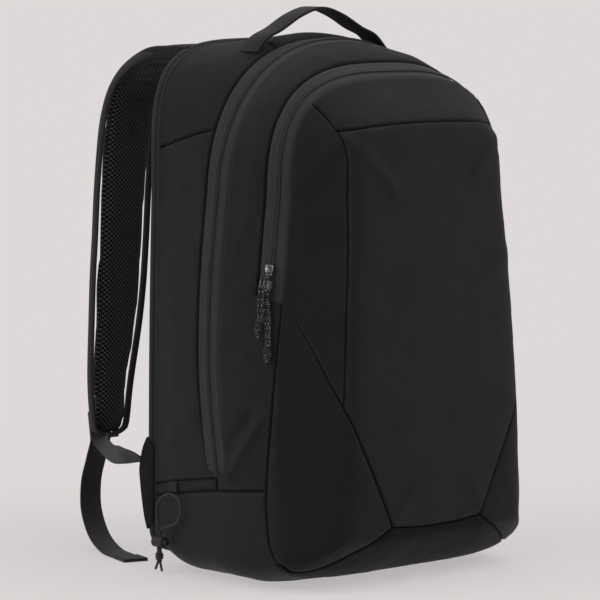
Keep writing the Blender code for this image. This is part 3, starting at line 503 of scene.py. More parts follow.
# ---------------------------------------------------------------- materials
class Finish:
    """One procedural material, with short names for the nodes that it needs."""

    def __init__(self, name, colour, roughness, metallic=0.0):
        self.material = bpy.data.materials.new(name)
        self.material.use_nodes = True
        self.tree = self.material.node_tree
        self.shader = self.tree.nodes["Principled BSDF"]
        self.colour = colour
        self.shader.inputs["Base Color"].default_value = (*colour, 1)
        self.shader.inputs["Roughness"].default_value = roughness
        self.shader.inputs["Metallic"].default_value = metallic

    def fixed(self, **values):
        """Constant values of the shader; _ stands for a space."""
        for key, value in values.items():
            self.shader.inputs[key.replace("_", " ")].default_value = value
        return self

    def sheen(self, weight, roughness, specular, tint):
        self.fixed(Sheen_Weight=weight, Sheen_Roughness=roughness, Specular_IOR_Level=specular)
        self.shader.inputs["Sheen Tint"].default_value = (*tint, 1)

    def node(self, kind, **settings):
        made = self.tree.nodes.new(kind)
        for key, value in settings.items():
            setattr(made, key, value)
        return made

    def link(self, socket, target):
        if hasattr(socket, "is_output"):
            self.tree.links.new(socket, target)
        else:
            target.default_value = socket

    def math(self, operation, a, b=0.0):
        made = self.node("ShaderNodeMath", operation=operation)
        self.link(a, made.inputs[0])
        self.link(b, made.inputs[1])
        return made.outputs[0]

    def mapped(self, a, low, high, to_low=0.0, to_high=1.0):
        made = self.node("ShaderNodeMapRange")
        self.link(a, made.inputs["Value"])
        for key, value in (("From Min", low), ("From Max", high), ("To Min", to_low), ("To Max", to_high)):
            made.inputs[key].default_value = value
        return made.outputs["Result"]

    def uv(self):
        split = self.node("ShaderNodeSeparateXYZ")
        self.tree.links.new(self.node("ShaderNodeTexCoord").outputs["UV"], split.inputs[0])
        return split.outputs[0], split.outputs[1]

    def noise(self, scale, detail=2.0, stretch=None, coordinate="Object"):
        """Noise, scale per metre; stretch scales the axes."""
        source = self.node("ShaderNodeTexCoord").outputs[coordinate]
        if stretch:
            mapping = self.node("ShaderNodeMapping")
            mapping.inputs["Scale"].default_value = stretch
            self.tree.links.new(source, mapping.inputs["Vector"])
            source = mapping.outputs["Vector"]
        made = self.node("ShaderNodeTexNoise")
        self.tree.links.new(source, made.inputs["Vector"])
        made.inputs["Scale"].default_value = scale
        made.inputs["Detail"].default_value = detail
        return made.outputs["Fac"]

    def seam_shade_and_lip_highlight(self, pale):
        """Two factors: a painted highlight on the lip beside a seam, and painted shade in the seam."""
        seam_shade_and_lip_highlight = self.node("ShaderNodeAttribute", attribute_name="seam_shade_and_lip_highlight").outputs["Fac"]
        return self.mapped(seam_shade_and_lip_highlight, 0.0, 1.0, 1.0, pale), self.mapped(seam_shade_and_lip_highlight, -1.0, 0.0, 0.2, 1.0)

    def tint(self, *factors):
        """Base colour times each factor (a socket)."""
        total = factors[0]
        for factor in factors[1:]:
            total = self.math("MULTIPLY", total, factor)
        scaled = self.node("ShaderNodeVectorMath", operation="SCALE")
        scaled.inputs[0].default_value = self.colour
        self.link(total, scaled.inputs["Scale"])
        self.tree.links.new(scaled.outputs[0], self.shader.inputs["Base Color"])
        return self

    def rough(self, socket):
        self.tree.links.new(socket, self.shader.inputs["Roughness"])
        return self

    def bump(self, height, distance, strength=1.0):
        made = self.node("ShaderNodeBump")
        made.inputs["Distance"].default_value = distance
        made.inputs["Strength"].default_value = strength
        self.link(height, made.inputs["Height"])
        self.tree.links.new(made.outputs[0], self.shader.inputs["Normal"])
        return self

    def weave(self, pitch_u, pitch_v):
        """Height 0-1 of a plain weave whose threads lie pitch_u and pitch_v apart."""
        u, v = self.uv()
        u, v = self.math("DIVIDE", u, pitch_u), self.math("DIVIDE", v, pitch_v)
        warp = self.math("ABSOLUTE", self.math("SINE", self.math("MULTIPLY", u, math.pi)))
        weft = self.math("ABSOLUTE", self.math("SINE", self.math("MULTIPLY", v, math.pi)))
        cell = self.math("ADD", self.math("FLOOR", u), self.math("FLOOR", v))
        odd = self.math("PINGPONG", cell, 1.0)
        even = self.math("SUBTRACT", 1.0, odd)
        return self.math("ADD", self.math("MULTIPLY", warp, odd), self.math("MULTIPLY", weft, even))

    def dots(self, pitch_u, pitch_v):
        """-1 to 1, high at staggered round spots."""
        u, v = self.uv()
        a = self.math("COSINE", self.math("MULTIPLY", u, 2 * math.pi / pitch_u))
        b = self.math("COSINE", self.math("MULTIPLY", v, 2 * math.pi / pitch_v))
        return self.math("MULTIPLY", a, b)

    def ribs(self, pitch_u, pitch_v, slant=0.5):
        """Herringbone ribs across a band: 0-1."""
        u, v = self.uv()
        zig = self.math("PINGPONG", u, pitch_u)
        run = self.math("ADD", self.math("DIVIDE", v, pitch_v), self.math("MULTIPLY", zig, slant / pitch_u))
        return self.math("ABSOLUTE", self.math("SINE", self.math("MULTIPLY", run, math.pi)))


def woven(name, colour, roughness, pitch, sheen, mottle=0.16, depth=0.00022):
    """Woven cloth: threads, uneven yarn, faint cloudiness, painted shade in the seams and a painted highlight
    on the lip beside them.
    """
    m = Finish(name, colour, roughness)
    m.sheen(sheen, 0.45, 0.12, (0.62, 0.62, 0.65))
    weave = m.weave(pitch, pitch * 0.9)
    slub = m.noise(1.0, 3.0, (90, 900, 1), "UV")
    cloud = m.noise(26.0, 3.0)
    grain = m.noise(420.0, 2.0)
    # The last two factors paint shade into the seams and a highlight on the lip beside them.
    m.tint(m.mapped(weave, 0, 1, 0.70, 1.22), m.mapped(slub, 0.3, 0.7, 1 - mottle, 1 + mottle),
           m.mapped(cloud, 0.3, 0.7, 0.90, 1.12), m.mapped(grain, 0.3, 0.7, 0.88, 1.14),
           *m.seam_shade_and_lip_highlight(1.35))
    m.rough(m.mapped(grain, 0.2, 0.8, roughness - 0.08, roughness + 0.08))
    m.bump(m.math("ADD", weave, m.math("MULTIPLY", slub, 0.9)), depth, 0.8)
    return m.material


def coated_cloth(name, colour, specular):
    """Smooth coated cloth of the base and the corner panels."""
    m = Finish(name, colour, 0.60)
    m.sheen(0.06, 0.5, specular, (0.6, 0.6, 0.62))
    fine = m.noise(1900.0, 2.0)
    cloud = m.noise(30.0, 3.0)
    weave = m.weave(0.0005, 0.0005)
    # The last two factors paint shade into the seams and a highlight on the lip beside them.
    m.tint(m.mapped(fine, 0.3, 0.7, 0.86, 1.16), m.mapped(cloud, 0.3, 0.7, 0.92, 1.10),
           *m.seam_shade_and_lip_highlight(1.3))
    m.rough(m.mapped(cloud, 0.2, 0.8, 0.54, 0.66))
    m.bump(m.math("ADD", m.math("MULTIPLY", weave, 0.5), fine), 0.00012, 0.7)
    return m.material


def spacer_mesh():
    """Air mesh: staggered pale knots over a darker ground, the darkness painted shade in the mesh's holes."""
    m = Finish("spacer_mesh", (0.0190, 0.0190, 0.0196), 0.85)
    m.sheen(0.10, 0.5, 0.10, (0.6, 0.6, 0.62))
    knots_and_hole_shade = m.mapped(m.dots(0.0046, 0.0046), -0.2, 0.75, 0.0, 1.0)
    yarn = m.weave(0.0006, 0.0006)
    # The low end of the knot factor darkens the holes between the knots: painted shade.
    m.tint(m.mapped(knots_and_hole_shade, 0, 1, 0.12, 3.4), m.mapped(yarn, 0, 1, 0.8, 1.15),
           m.mapped(m.noise(60.0, 2.0), 0.3, 0.7, 0.92, 1.08))
    m.bump(m.math("ADD", knots_and_hole_shade, m.math("MULTIPLY", yarn, 0.15)), 0.0007, 0.9)
    return m.material


def band(name, colour, roughness, pitch_u, pitch_v, slant, depth=0.00035):
    """Narrow woven band: webbing, zip tape or binding."""
    m = Finish(name, colour, roughness)
    m.sheen(0.12, 0.45, 0.16, (0.65, 0.65, 0.68))
    ribs = m.ribs(pitch_u, pitch_v, slant)
    fuzz = m.noise(900.0, 2.0)
    m.tint(m.mapped(ribs, 0, 1, 0.62, 1.2), m.mapped(fuzz, 0.3, 0.7, 0.86, 1.14),
           m.mapped(m.noise(40.0, 2.0), 0.3, 0.7, 0.93, 1.08))
    m.bump(m.math("ADD", ribs, m.math("MULTIPLY", fuzz, 0.3)), depth, 0.8)
    return m.material


def braid(name, colour, pitch, flecks=0.0):
    """Braided cord, with pale reflective flecks if asked."""
    m = Finish(name, colour, 0.6)
    m.sheen(0.08, 0.5, 0.25, (0.7, 0.7, 0.7))
    u, v = m.uv()
    left = m.math("SINE", m.math("MULTIPLY", m.math("ADD", u, v), math.pi / pitch))
    right = m.math("SINE", m.math("MULTIPLY", m.math("SUBTRACT", u, v), math.pi / pitch))
    strands = m.math("ABSOLUTE", m.math("MULTIPLY", left, right))
    m.bump(strands, 0.0004, 0.9)
    shade = m.mapped(strands, 0, 1, 0.6, 1.25)
    if flecks:
        spots = m.math("GREATER_THAN", m.math("MULTIPLY", left, right), 0.60)
        chance = m.mapped(m.noise(1.0, 1.0, (900, 420, 1), "UV"), 0.57, 0.60)
        pale = m.math("MULTIPLY", spots, chance)
        shade = m.math("ADD", shade, m.math("MULTIPLY", pale, flecks))
    m.tint(shade)
    return m.material


def moulded(name, colour, roughness, grain=0.00006):
    """Moulded plastic or rubber with a fine texture and handling marks."""
    m = Finish(name, colour, roughness)
    m.fixed(Specular_IOR_Level=0.25)
    fine = m.noise(2200.0, 2.0)
    marks = m.noise(130.0, 4.0)
    m.tint(m.mapped(marks, 0.3, 0.7, 0.9, 1.15))
    m.rough(m.mapped(marks, 0.25, 0.75, roughness - 0.08, roughness + 0.1))
    m.bump(fine, grain, 0.6)
    return m.material


def painted_metal():
    """Dark paint on the sliders, rubbed through in places."""
    m = Finish("slider_metal", (0.30, 0.30, 0.31), 0.34, 1.0)
    rub = m.noise(500.0, 4.0)
    m.tint(m.mapped(rub, 0.35, 0.7, 0.45, 1.5))
    m.rough(m.mapped(rub, 0.3, 0.7, 0.45, 0.26))
    m.bump(m.noise(1500.0, 2.0), 0.00004, 0.5)
    return m.material


CLOTH = woven("face_cloth", (0.0088, 0.0088, 0.0091), 0.80, 0.00075, 0.10)
LINING = woven("lining_cloth", (0.040, 0.040, 0.043), 0.8, 0.0006, 0.2, 0.08)
COATED = coated_cloth("coated_cloth", (0.0068, 0.0068, 0.0071), 0.14)
# Darker copies of the coated cloth, as painted shade: the corner panels, which face down and out to the side,
# and the base's front strip, which faces down.
SHADED_CORNER = coated_cloth("corner_cloth", (0.0052, 0.0052, 0.0054), 0.12)
SHADED = coated_cloth("base_front_painted_shade", (0.0026, 0.0026, 0.0027), 0.06)
MESH = spacer_mesh()
ZIP_TAPE = band("zip_tape", (0.0215, 0.0215, 0.0222), 0.74, 0.0022, 0.0011, 0.5, 0.00022)
COIL = moulded("coil_nylon", (0.032, 0.032, 0.033), 0.42)
WEBBING = band("webbing", (0.0150, 0.0150, 0.0155), 0.66, 0.0031, 0.0016, 0.9)
BINDING = band("binding", (0.0190, 0.0190, 0.0196), 0.70, 0.0040, 0.0009, 0.0, 0.00025)
GRIP = band("grip_webbing", (0.0030, 0.0030, 0.0031), 0.66, 0.0031, 0.0016, 0.9)
PLASTIC = moulded("buckle_plastic", (0.012, 0.012, 0.013), 0.42)
METAL = painted_metal()
PULL_CORD = braid("pull_cord", (0.0045, 0.0045, 0.0045), 0.0016, 170.0)
ELASTIC = braid("elastic_cord", (0.026, 0.026, 0.027), 0.0010)
THREAD = moulded("thread", (0.022, 0.022, 0.023), 0.6)


# ---------------------------------------------------------------- camera, light and floor
def camera():
    """The view: from the left front, just above the middle of the bag, from 3.6 m away."""
    azimuth, elevation, distance = math.radians(-43), math.radians(5.7), 3.6
    right = Vector((math.cos(azimuth), math.sin(azimuth), 0))
    back = Vector((math.sin(azimuth) * math.cos(elevation), -math.cos(azimuth) * math.cos(elevation),
                   math.sin(elevation)))
    aim = Vector((0, 0, 0.25)) - right * 0.0317 + back.cross(right) * 0.0029
    data = bpy.data.cameras.new("camera")
    data.lens, data.sensor_width = 226.8, 36.0
    data.clip_start, data.clip_end = 0.1, 200
    obj = bpy.data.objects.new("camera", data)
    bpy.context.collection.objects.link(obj)
    obj.location = aim + back * distance
    obj.rotation_mode = "QUATERNION"
    obj.rotation_quaternion = (-back).to_track_quat("-Z", "Y")
    bpy.context.scene.camera = obj


WALL_LIGHT = (0.735, 0.703, 0.700)      # radiance of the plain surroundings
WALL_LEVEL = 0.742                      # their level, which the suns and the floor's colour go by
FLOOR_SHARE = 0.62                      # floor colour; the suns make up the rest
FLOOR_GLOW = 0.62                       # part of the floor's light that no shadow reaches


def lights():
    """Plain surroundings and two broad suns: one from the front and above, one from the left."""
    scene = bpy.context.scene
    scene.view_settings.view_transform = "Standard"
    scene.world = bpy.data.worlds.new("studio")
    scene.world.use_nodes = True
    scene.world.node_tree.nodes["Background"].inputs["Color"].default_value = (*WALL_LIGHT, 1)
    want = 1 / FLOOR_SHARE - 1          # radiance that the suns add to the floor, of the wall's
    suns = (("key", (34, 18, 0), 0.62, 50), ("left_fill", (58, 0, -105), 0.38, 60))
    for name, turn, share, spread in suns:
        data = bpy.data.lights.new(name, "SUN")
        data.angle = math.radians(spread)
        height = math.cos(math.radians(turn[0])) * math.cos(math.radians(turn[1]))
        data.energy = math.pi * want * share * WALL_LEVEL / height
        sun = bpy.data.objects.new(name, data)
        sun.rotation_euler = [math.radians(a) for a in turn]
        bpy.context.collection.objects.link(sun)


def floor():
    colour = tuple(c * (1 - FLOOR_GLOW) * FLOOR_SHARE / WALL_LEVEL for c in WALL_LIGHT)
    m = Finish("floor_paper", colour, 0.95)
    m.fixed(Specular_IOR_Level=0.0, Emission_Strength=FLOOR_GLOW)
    m.shader.inputs["Emission Color"].default_value = (*WALL_LIGHT, 1)
    m.tint(m.mapped(m.noise(9.0, 2.0), 0.3, 0.7, 0.997, 1.003))
    size, segments = 60.0, 8
    line = np.linspace(-size, size, segments + 1)
    verts = [(x, y, -0.0002) for y in line for x in line]
    row = len(line)
    faces = [(r * row + c, r * row + c + 1, (r + 1) * row + c + 1, (r + 1) * row + c)
             for r in range(segments) for c in range(segments)]
    new_object("floor", verts, faces, [m.material])


# ---------------------------------------------------------------- cords
CORD = 0.0032
UPPER_STRANDS = (((0.0020, 0.0054, 0.0072), (0.0030, 0.012, 0.0104), (0.0042, 0.030, 0.0098),
                  (0.0050, 0.047, 0.0072)),
                 ((-0.0020, 0.0054, 0.0072), (-0.0012, 0.012, 0.0104), (0.0002, 0.030, 0.0098),
                  (0.0016, 0.047, 0.0072)))
UPPER_KNOT = (0.0052, 0.0540, 0.0070)
LOWER_STRANDS = (((0.0019, 0.0054, 0.0060), (0.0012, 0.012, 0.0052), (-0.0012, 0.030, 0.0046),
                  (-0.0030, 0.054, 0.0046)),
                 ((-0.0019, 0.0054, 0.0060), (-0.0022, 0.012, 0.0052), (-0.0046, 0.030, 0.0046),
                  (-0.0064, 0.054, 0.0046)))
LOWER_KNOT = (-0.0047, 0.0610, 0.0052)
# zip, place, depth of the zip, side, slider height, strands and knot as
# (depth beside the zip, drop below the slider, distance off the shell)
PULLS = (
    ("front", "upper", FRONT_ZIP_Y, -1, 0.2950, UPPER_STRANDS, UPPER_KNOT),
    ("front", "lower", FRONT_ZIP_Y, -1, 0.2805, LOWER_STRANDS, LOWER_KNOT),
    ("main", "upper", 0.0, 1, 0.3000, UPPER_STRANDS, UPPER_KNOT),
    ("main", "lower", 0.0, 1, 0.2855, LOWER_STRANDS, LOWER_KNOT),
)


def off_shell(y, z, side, out):
    """Point at a distance out from the side of the bag, at depth y and height z."""
    q = side_q(z)
    here = shell(y, q, side)
    n = normals_of(lambda a, b: shell(a, b, side), np.array(y), np.array(q), 0.002, 0.01)
    n = away_from(here, n, MIDDLE)
    return np.array((here[0], y, here[2])) + n * out


def strap_knot(name, centre, axis, length, radius, cord_radius, turns, material):
    """Cord wound round itself, with a short core that shows at both ends."""
    axis = unit(np.asarray(axis, float))
    across = unit(np.cross(axis, (0.9, 0.3, 0.2)))
    third = np.cross(axis, across)
    angle = np.linspace(0, 2 * np.pi * turns, int(turns * 16) + 1)
    along = np.linspace(-0.5, 0.5, len(angle)) * (length - 2 * cord_radius)
    swell = radius * (0.80 + 0.20 * np.cos(np.pi * along / length) ** 2) - cord_radius
    ring = np.cos(angle)[:, None] * across + np.sin(angle)[:, None] * third
    winding = tube(name + "_winding", centre + ring * swell[:, None] + along[:, None] * axis,
                   cord_radius, material, 8)
    ends = np.linspace(-0.62, 0.62, 7)[:, None] * length * axis
    core = tube(name + "_core", centre + ends, radius - cord_radius * 1.35, material, 10)
    return join(name, [winding, core])


def zip_pull(zip_name, place, y, side, z, strands, knot):
    """Two strands of cord tied to a slider, with a wound knot at their end."""
    body = zip_name + "_pull_" + place
    slider_y = float(shell(y, side_q(z), side)[1])

    def spot(dy, drop, lift):
        return off_shell(slider_y + dy, z - drop, side, lift)

    tied = strap_knot(body + "_tied_end", spot(*knot), (0, 0, 1), 0.0122, 0.0043, 0.0012, 4, PULL_CORD)
    put(tied, body, "pull_end", body + "_knot")
    for word, strand in zip("ab", strands):
        path = smooth_line([spot(*p) for p in strand], 28)
        piece = tube(body + "_strand_" + word, path, CORD / 2, PULL_CORD)
        put(piece, body, "pull_cord", body + "_cord_" + word)


LOOP_X = -0.1612
LOOP_CORD = 0.0026
LOOP_REAR = ((0.0547, 0.0768), (0.0640, 0.0735), (0.0712, 0.0635), (0.0712, 0.0530), (0.0697, 0.0440),
             (0.0697, 0.0340), (0.0697, 0.0225))
LOOP_FRONT = ((0.0515, 0.0768), (0.0425, 0.0735), (0.0370, 0.0630), (0.0430, 0.0510), (0.0570, 0.0455),
              (0.0663, 0.0410), (0.0663, 0.0330), (0.0663, 0.0225))
LOOP_KNOT = (LOOP_X, 0.0680, 0.0165)


def cord_loop():
    """Elastic loop on the left side, with its knot and two short tails."""
    knot = strap_knot("loop_tied_end", LOOP_KNOT, (0, 0, 1), 0.0086, 0.0042, 0.0013, 2.5, ELASTIC)
    tails = []
    for dy, dx in ((0.0034, 0.0012), (-0.0026, -0.0014)):
        line = smooth_line([(LOOP_X, LOOP_KNOT[1] + dy * 0.3, 0.0140),
                            (LOOP_X + dx * 0.5, LOOP_KNOT[1] + dy, 0.0090),
                            (LOOP_X + dx, LOOP_KNOT[1] + dy * 2.0, 0.0035)], 8)
        tails.append(tube("tail", line, LOOP_CORD / 2 * 0.92, ELASTIC, 10))
    knot = join("loop_tied_end", [knot, *tails])
    put(knot, "cord_loop", "elastic_cord", "loop_knot")
    for word, route in (("rear", LOOP_REAR), ("front", LOOP_FRONT)):
        path = smooth_line([(LOOP_X + 0.0012 * (z > 0.07), y, z) for y, z in route], 40)
        piece = tube("elastic_" + word, path, LOOP_CORD / 2, ELASTIC)
        put(piece, "cord_loop", "elastic_cord", "loop_cord_" + word)


# ---------------------------------------------------------------- shell pieces
def strip(name, surface, ends, depths, materials, lift=None, **options):
    """Piece of the sides: ends(y) gives its first and last turn, depths(z) its rear and front y.

    lift gives its height over the surface by the distance from its rear edge.
    """
    rear, front = (float(v) for v in depths(MIDDLE[2]))
    middle = np.array((rear + front) / 2)
    t0, t1 = ends(middle)
    dense = np.linspace(t0, t1, 1500)
    run = run_length(surface(middle, dense), 0)
    shares = np.interp(steps(run[-1]) * run[-1], run, np.linspace(0, 1, 1500))
    cols = steps(abs(rear - front))
    height = surface(middle, t0 + (t1 - t0) * shares)[:, 2]
    edges = [np.broadcast_to(v, height.shape) for v in depths(height)]
    for _ in range(3):                  # each edge's depth depends on the height that it reaches
        for k, edge in enumerate(edges):
            t0, t1 = ends(edge)
            reached = surface(edge, t0 + (t1 - t0) * shares)[:, 2]
            edges[k] = np.broadcast_to(depths(reached)[k], height.shape)
    rear, front = (edge[:, None] for edge in edges)
    y = rear + (front - rear) * cols[None, :] + 0 * height[:, None]
    t0, t1 = ends(y)
    turn = t0 + (t1 - t0) * shares[:, None]
    points = surface(y, turn)
    normals = away_from(points, normals_of(surface, y, turn, 0.002, 0.008), MIDDLE)
    rise = lift(cols * abs(float(np.mean(rear - front))))[None, :, None] if lift else 0.0
    return panel(name, points + normals * rise, normals, materials, uv_turn=True, **options)


MAIN_ZIP_END = 0.1035       # lower end of the main zip; below it the two sides are sewn together


def zip_bend(z):
    """How far the main zip has moved towards the front at height z."""
    return -0.0100 * np.clip((0.215 - z) / 0.115, 0, 1) ** 1.7


def beside_zip(z, edge):
    """Depth of a side panel's edge along the main zip; edge is its depth from the zip's middle."""
    open_share = np.clip((z - MAIN_ZIP_END) / 0.0015, 0, 1)
    narrow = 1 + zip_bend(z) / 0.030
    return zip_bend(z) + edge * narrow * open_share + math.copysign(0.0003, edge) * (1 - open_share)


def boot_top(y):
    """Height of the base's upper seam: it rises towards the front."""
    return np.interp(-y, (-0.095, -0.05, 0.0, 0.083), (0.0700, 0.0775, 0.0855, 0.0935))


BAND_Z = 0.0115             # height of the bound strip above the base, at the rear


def toe_line():
    """Seam from the foot of the diagonal down and out to the front edge."""
    return smooth_line([*TOE, (-edge_x(HEEL_Z), HEEL_Z)], 90)


def base():
    """The coated base: bottom, lower sides, and the front strip under the main panel."""
    def rim(y):
        return -side_q(boot_top(y)), side_q(boot_top(y))

    def depths(z):
        return 0.0905, FRONT_Y + wrap_width(z)

    boot = strip("base_cloth", under, rim, depths, [COATED, LINING])
    put(boot, "root", "coated_fabric", "base_boot")
    around = np.linspace(-edge_q(HEEL_Z), edge_q(HEEL_Z), 240)
    bottom = under(FRONT_Y, around)[:, [0, 2]]
    toe = toe_line()[::-1]
    foot_strip = np.concatenate([toe, smooth_line(BOTTOM_SEAM, 90)[1:], mirrored(toe[::-1])[1:]])
    # Its cloth is the darkest copy of the coated cloth, painted shade for a strip that faces down.
    strip_piece = patch("base_front_cloth", bottom, foot_strip, bottom[[0]], bottom[[-1]], [SHADED, LINING])
    put(strip_piece, "root", "coated_fabric", "base_front")


def base_turn(y):
    """Turn of the lower edge of the sides, just above the base."""
    return turn_at(boot_top(y) + GAP)


def yoke_turn(y):
    """Turn of the side seam under the rear yoke: it rises towards the front."""
    return 0.716 + 1.18 * y


def handle_turn(y):
    """Turn of the seam that the handle's ends are sewn into."""
    return 0.290 - 1.7 * y


YOKE_GAP = 0.002            # turn between a yoke and the pieces beside it


def rear_gusset():
    """Sides behind the big zip, with a strip above the base and a yoke over the top."""
    def depths(z):
        return 0.0925, beside_zip(z, MAIN_ZIP_HALF + GAP)

    def side_piece(name, side, low, high):
        """Piece of one side, between two turns that depend on the depth."""
        def ends(y):
            return side * low(y), side * high(y)

        put(strip(name, over, ends, depths, [CLOTH, LINING]), "root", "face_fabric")

    for word, side in SIDES:
        side_piece("side_band_" + word, side, base_turn, lambda y: turn_at(boot_top(y) + BAND_Z))
        side_piece("side_panel_" + word, side, lambda y: turn_at(boot_top(y) + BAND_Z + GAP), yoke_turn)
        side_piece("rear_yoke_" + word, side, lambda y: yoke_turn(y) - YOKE_GAP,
                   lambda y: handle_turn(y) + YOKE_GAP)
    crown = strip("rear_crown", over, lambda y: (-handle_turn(y), handle_turn(y)), depths, [CLOTH, LINING])
    put(crown, "root", "face_fabric", "rear_gusset", "handle_tab_left", "handle_tab_right")


def mid_gusset():
    """Sides between the two zips; under the front zip's ends they reach the front edge."""
    def ends(y):
        return -base_turn(y), base_turn(y)

    def depths(z):
        share = np.clip((FRONT_ZIP_END - 0.001 - z) / 0.003, 0, 1)
        front = FRONT_ZIP_Y + FRONT_ZIP_HALF + GAP
        return beside_zip(z, -MAIN_ZIP_HALF - GAP), front + (FRONT_Y + wrap_width(z) - front) * share

    piece = strip("middle_cloth", over, ends, depths, [CLOTH, LINING])
    put(piece, LOW_BEND, "face_fabric", "mid_gusset")


# Section of a tooth, along the zip and out from it, and the height of its stations across the zip.
TOOTH_SECTION = np.array(((-0.00072, -0.0004), (-0.00066, 0.0007), (-0.00026, 0.00125),
                          (0.00026, 0.00125), (0.00066, 0.0007), (0.00072, -0.0004)))
TOOTH_RISE = np.array((0.55, 1.0, 1.0, 0.5))


def coil_teeth(name, foot, y_edge, y_centre, phase, bends):
    """Nylon teeth of one half of a zip, each a low arched bar across its edge.

    foot is the turn at both ends of the zip, phase the shift of the teeth in pitches.
    """
    mean_y = np.array((y_edge + y_centre) / 2)
    dense = np.linspace(-foot, foot, 4000)
    run = run_length(over(mean_y, dense), 0)
    count = int(run[-1] / TOOTH_PITCH)
    turn = np.interp((np.arange(count) + 0.5 + phase) * TOOTH_PITCH, run, dense)
    reach = y_centre + (y_centre - y_edge) * 0.16
    ys = np.array((y_edge, y_edge + (reach - y_edge) * 0.25, y_edge + (reach - y_edge) * 0.8, reach))
    turn = turn[:, None] + 0 * ys
    depth = ys + bends * zip_bend(over(ys, turn)[..., 2])
    centre = over(depth, turn)
    normal = away_from(centre, normals_of(over, depth, turn, 0.002, 0.006), MIDDLE)
    way = unit(over(depth, turn + 0.004) - over(depth, turn - 0.004))
    points = (centre[:, :, None] + way[:, :, None] * TOOTH_SECTION[None, None, :, :1]
              + normal[:, :, None] * TOOTH_SECTION[None, None, :, 1:] * TOOTH_RISE[None, :, None, None])
    size = len(TOOTH_SECTION)
    faces = []
    for k in range(count):
        start = k * len(ys) * size
        for r in range(len(ys) - 1):
            for c in range(size):
                d = (c + 1) % size
                a = start + r * size
                faces.append((a + c, a + d, a + size + d, a + size + c))
        faces.append(tuple(start + c for c in range(size))[::-1])
        faces.append(tuple(start + (len(ys) - 1) * size + c for c in range(size)))
    if y_edge < y_centre:
        faces = [f[::-1] for f in faces]
    obj = new_object(name, points.reshape(-1, 3), faces, [COIL], 35)
    set_uv(obj, points.reshape(-1, 3)[:, [1, 2]])
    return obj


TUCK = 0.0024               # how far a tape goes on under the cloth beside it
ZIP_OPEN = 0.0004           # half of the gap between the two tapes
# Depth of each zip's middle, half its width, and the height of its lower ends.
ZIPS = {"main": (0.0, MAIN_ZIP_HALF, MAIN_ZIP_END - 0.004),
        "front": (FRONT_ZIP_Y, FRONT_ZIP_HALF, FRONT_ZIP_END - 0.0045)}


def tape_lift(run):
    """Height of a tape over the shell: low where it goes under the cloth, run metres from its edge."""
    return np.interp(run, (0.0017, TUCK + 0.0005), (-0.0041, -0.0007))


def half_zip(zip_name, place, side, phase, body):
    """One tape, sunk a little under the turned edge of the cloth, with its teeth.

    side is 1 for the tape at the rear of its zip and -1 for the one at the front.
    """
    bends = zip_name == "main"
    centre, half, low = ZIPS[zip_name]
    foot = turn_at(low)
    inner_edge = centre + side * ZIP_OPEN

    def ends(y):
        return -foot + 0 * y, foot + 0 * y

    def depths(z):
        bend = bends * zip_bend(z)
        return centre + side * (half - GAP) + side * TUCK + bend, inner_edge + bend

    name = zip_name + "_tape_" + place
    tape = strip(name, over, ends, depths, [ZIP_TAPE], sewn="", thick=TAPE, life=0.0, lift=tape_lift)
    put(tape, body, "zip_tape", zip_name + "_zip_tape_" + place)
    coil_edge = centre + side * COIL_HALF
    teeth = coil_teeth(zip_name + "_teeth_" + place, foot, coil_edge, inner_edge, phase, bends)
    put(teeth, body, "zip_coil", zip_name + "_zip_coil_" + place)


def zips():
    half_zip("main", "rear", 1, 0.0, "root")
    half_zip("main", "front", -1, 0.5, LOW_BEND)
    half_zip("front", "outer", 1, 0.0, "front_half")
    half_zip("front", "inner", -1, 0.5, HIGH_BEND)


def rear_piping():
    """Bound edge all round the back, with its cord inside."""
    half = np.concatenate([np.linspace(0, 1, 46), np.linspace(1, 2, 90)[1:], np.linspace(2, 3, 90)[1:]])
    q = np.concatenate([half, half[-2:0:-1]])
    side = np.concatenate([-np.ones(len(half)), np.ones(len(half) - 2)])
    y = np.full(len(q), REAR_Y - 0.0005)
    centre = shell(y, q, side)
    n = normals_of(lambda a, b: shell(a, np.clip(b, 0, 3), side), y, q, 0.002, 0.01)
    n = away_from(centre, n, np.array((0, REAR_Y, 0.25)))
    n[:, 1] = 0
    n = unit(n)
    n = unit(sum(np.roll(n, k, 0) for k in range(-3, 4)))   # evened out round the corners
    back = np.array((0.0, 1.0, 0.0))
    # The section: a round bead outside and a flat flange that lies on the side panel.
    section = [(0.0033 * math.cos(a) + 0.0004, 0.0034 * math.sin(a)) for a in np.linspace(-2.2, 2.3, 12)]
    section += [(-0.0012, -0.0062), (-0.0001, -0.0068), (0.0012, -0.0060), (0.0013, -0.0036)]
    bead = [p + m * u + back * v for p, m in zip(centre, n) for u, v in section]
    rings = np.array(bead).reshape(len(centre), len(section), 3)
    put(loft("rear_piping", rings, [BINDING], closed=True, smooth=70), "root", "webbing", "rear_binding")


# ---------------------------------------------------------------- front face
def grid_normals(points):
    """Unit normals of a grid of points on the front half of the bag."""
    normals = unit(np.cross(np.gradient(points, axis=1), np.gradient(points, axis=0)))
    return away_from(points, normals, MIDDLE)


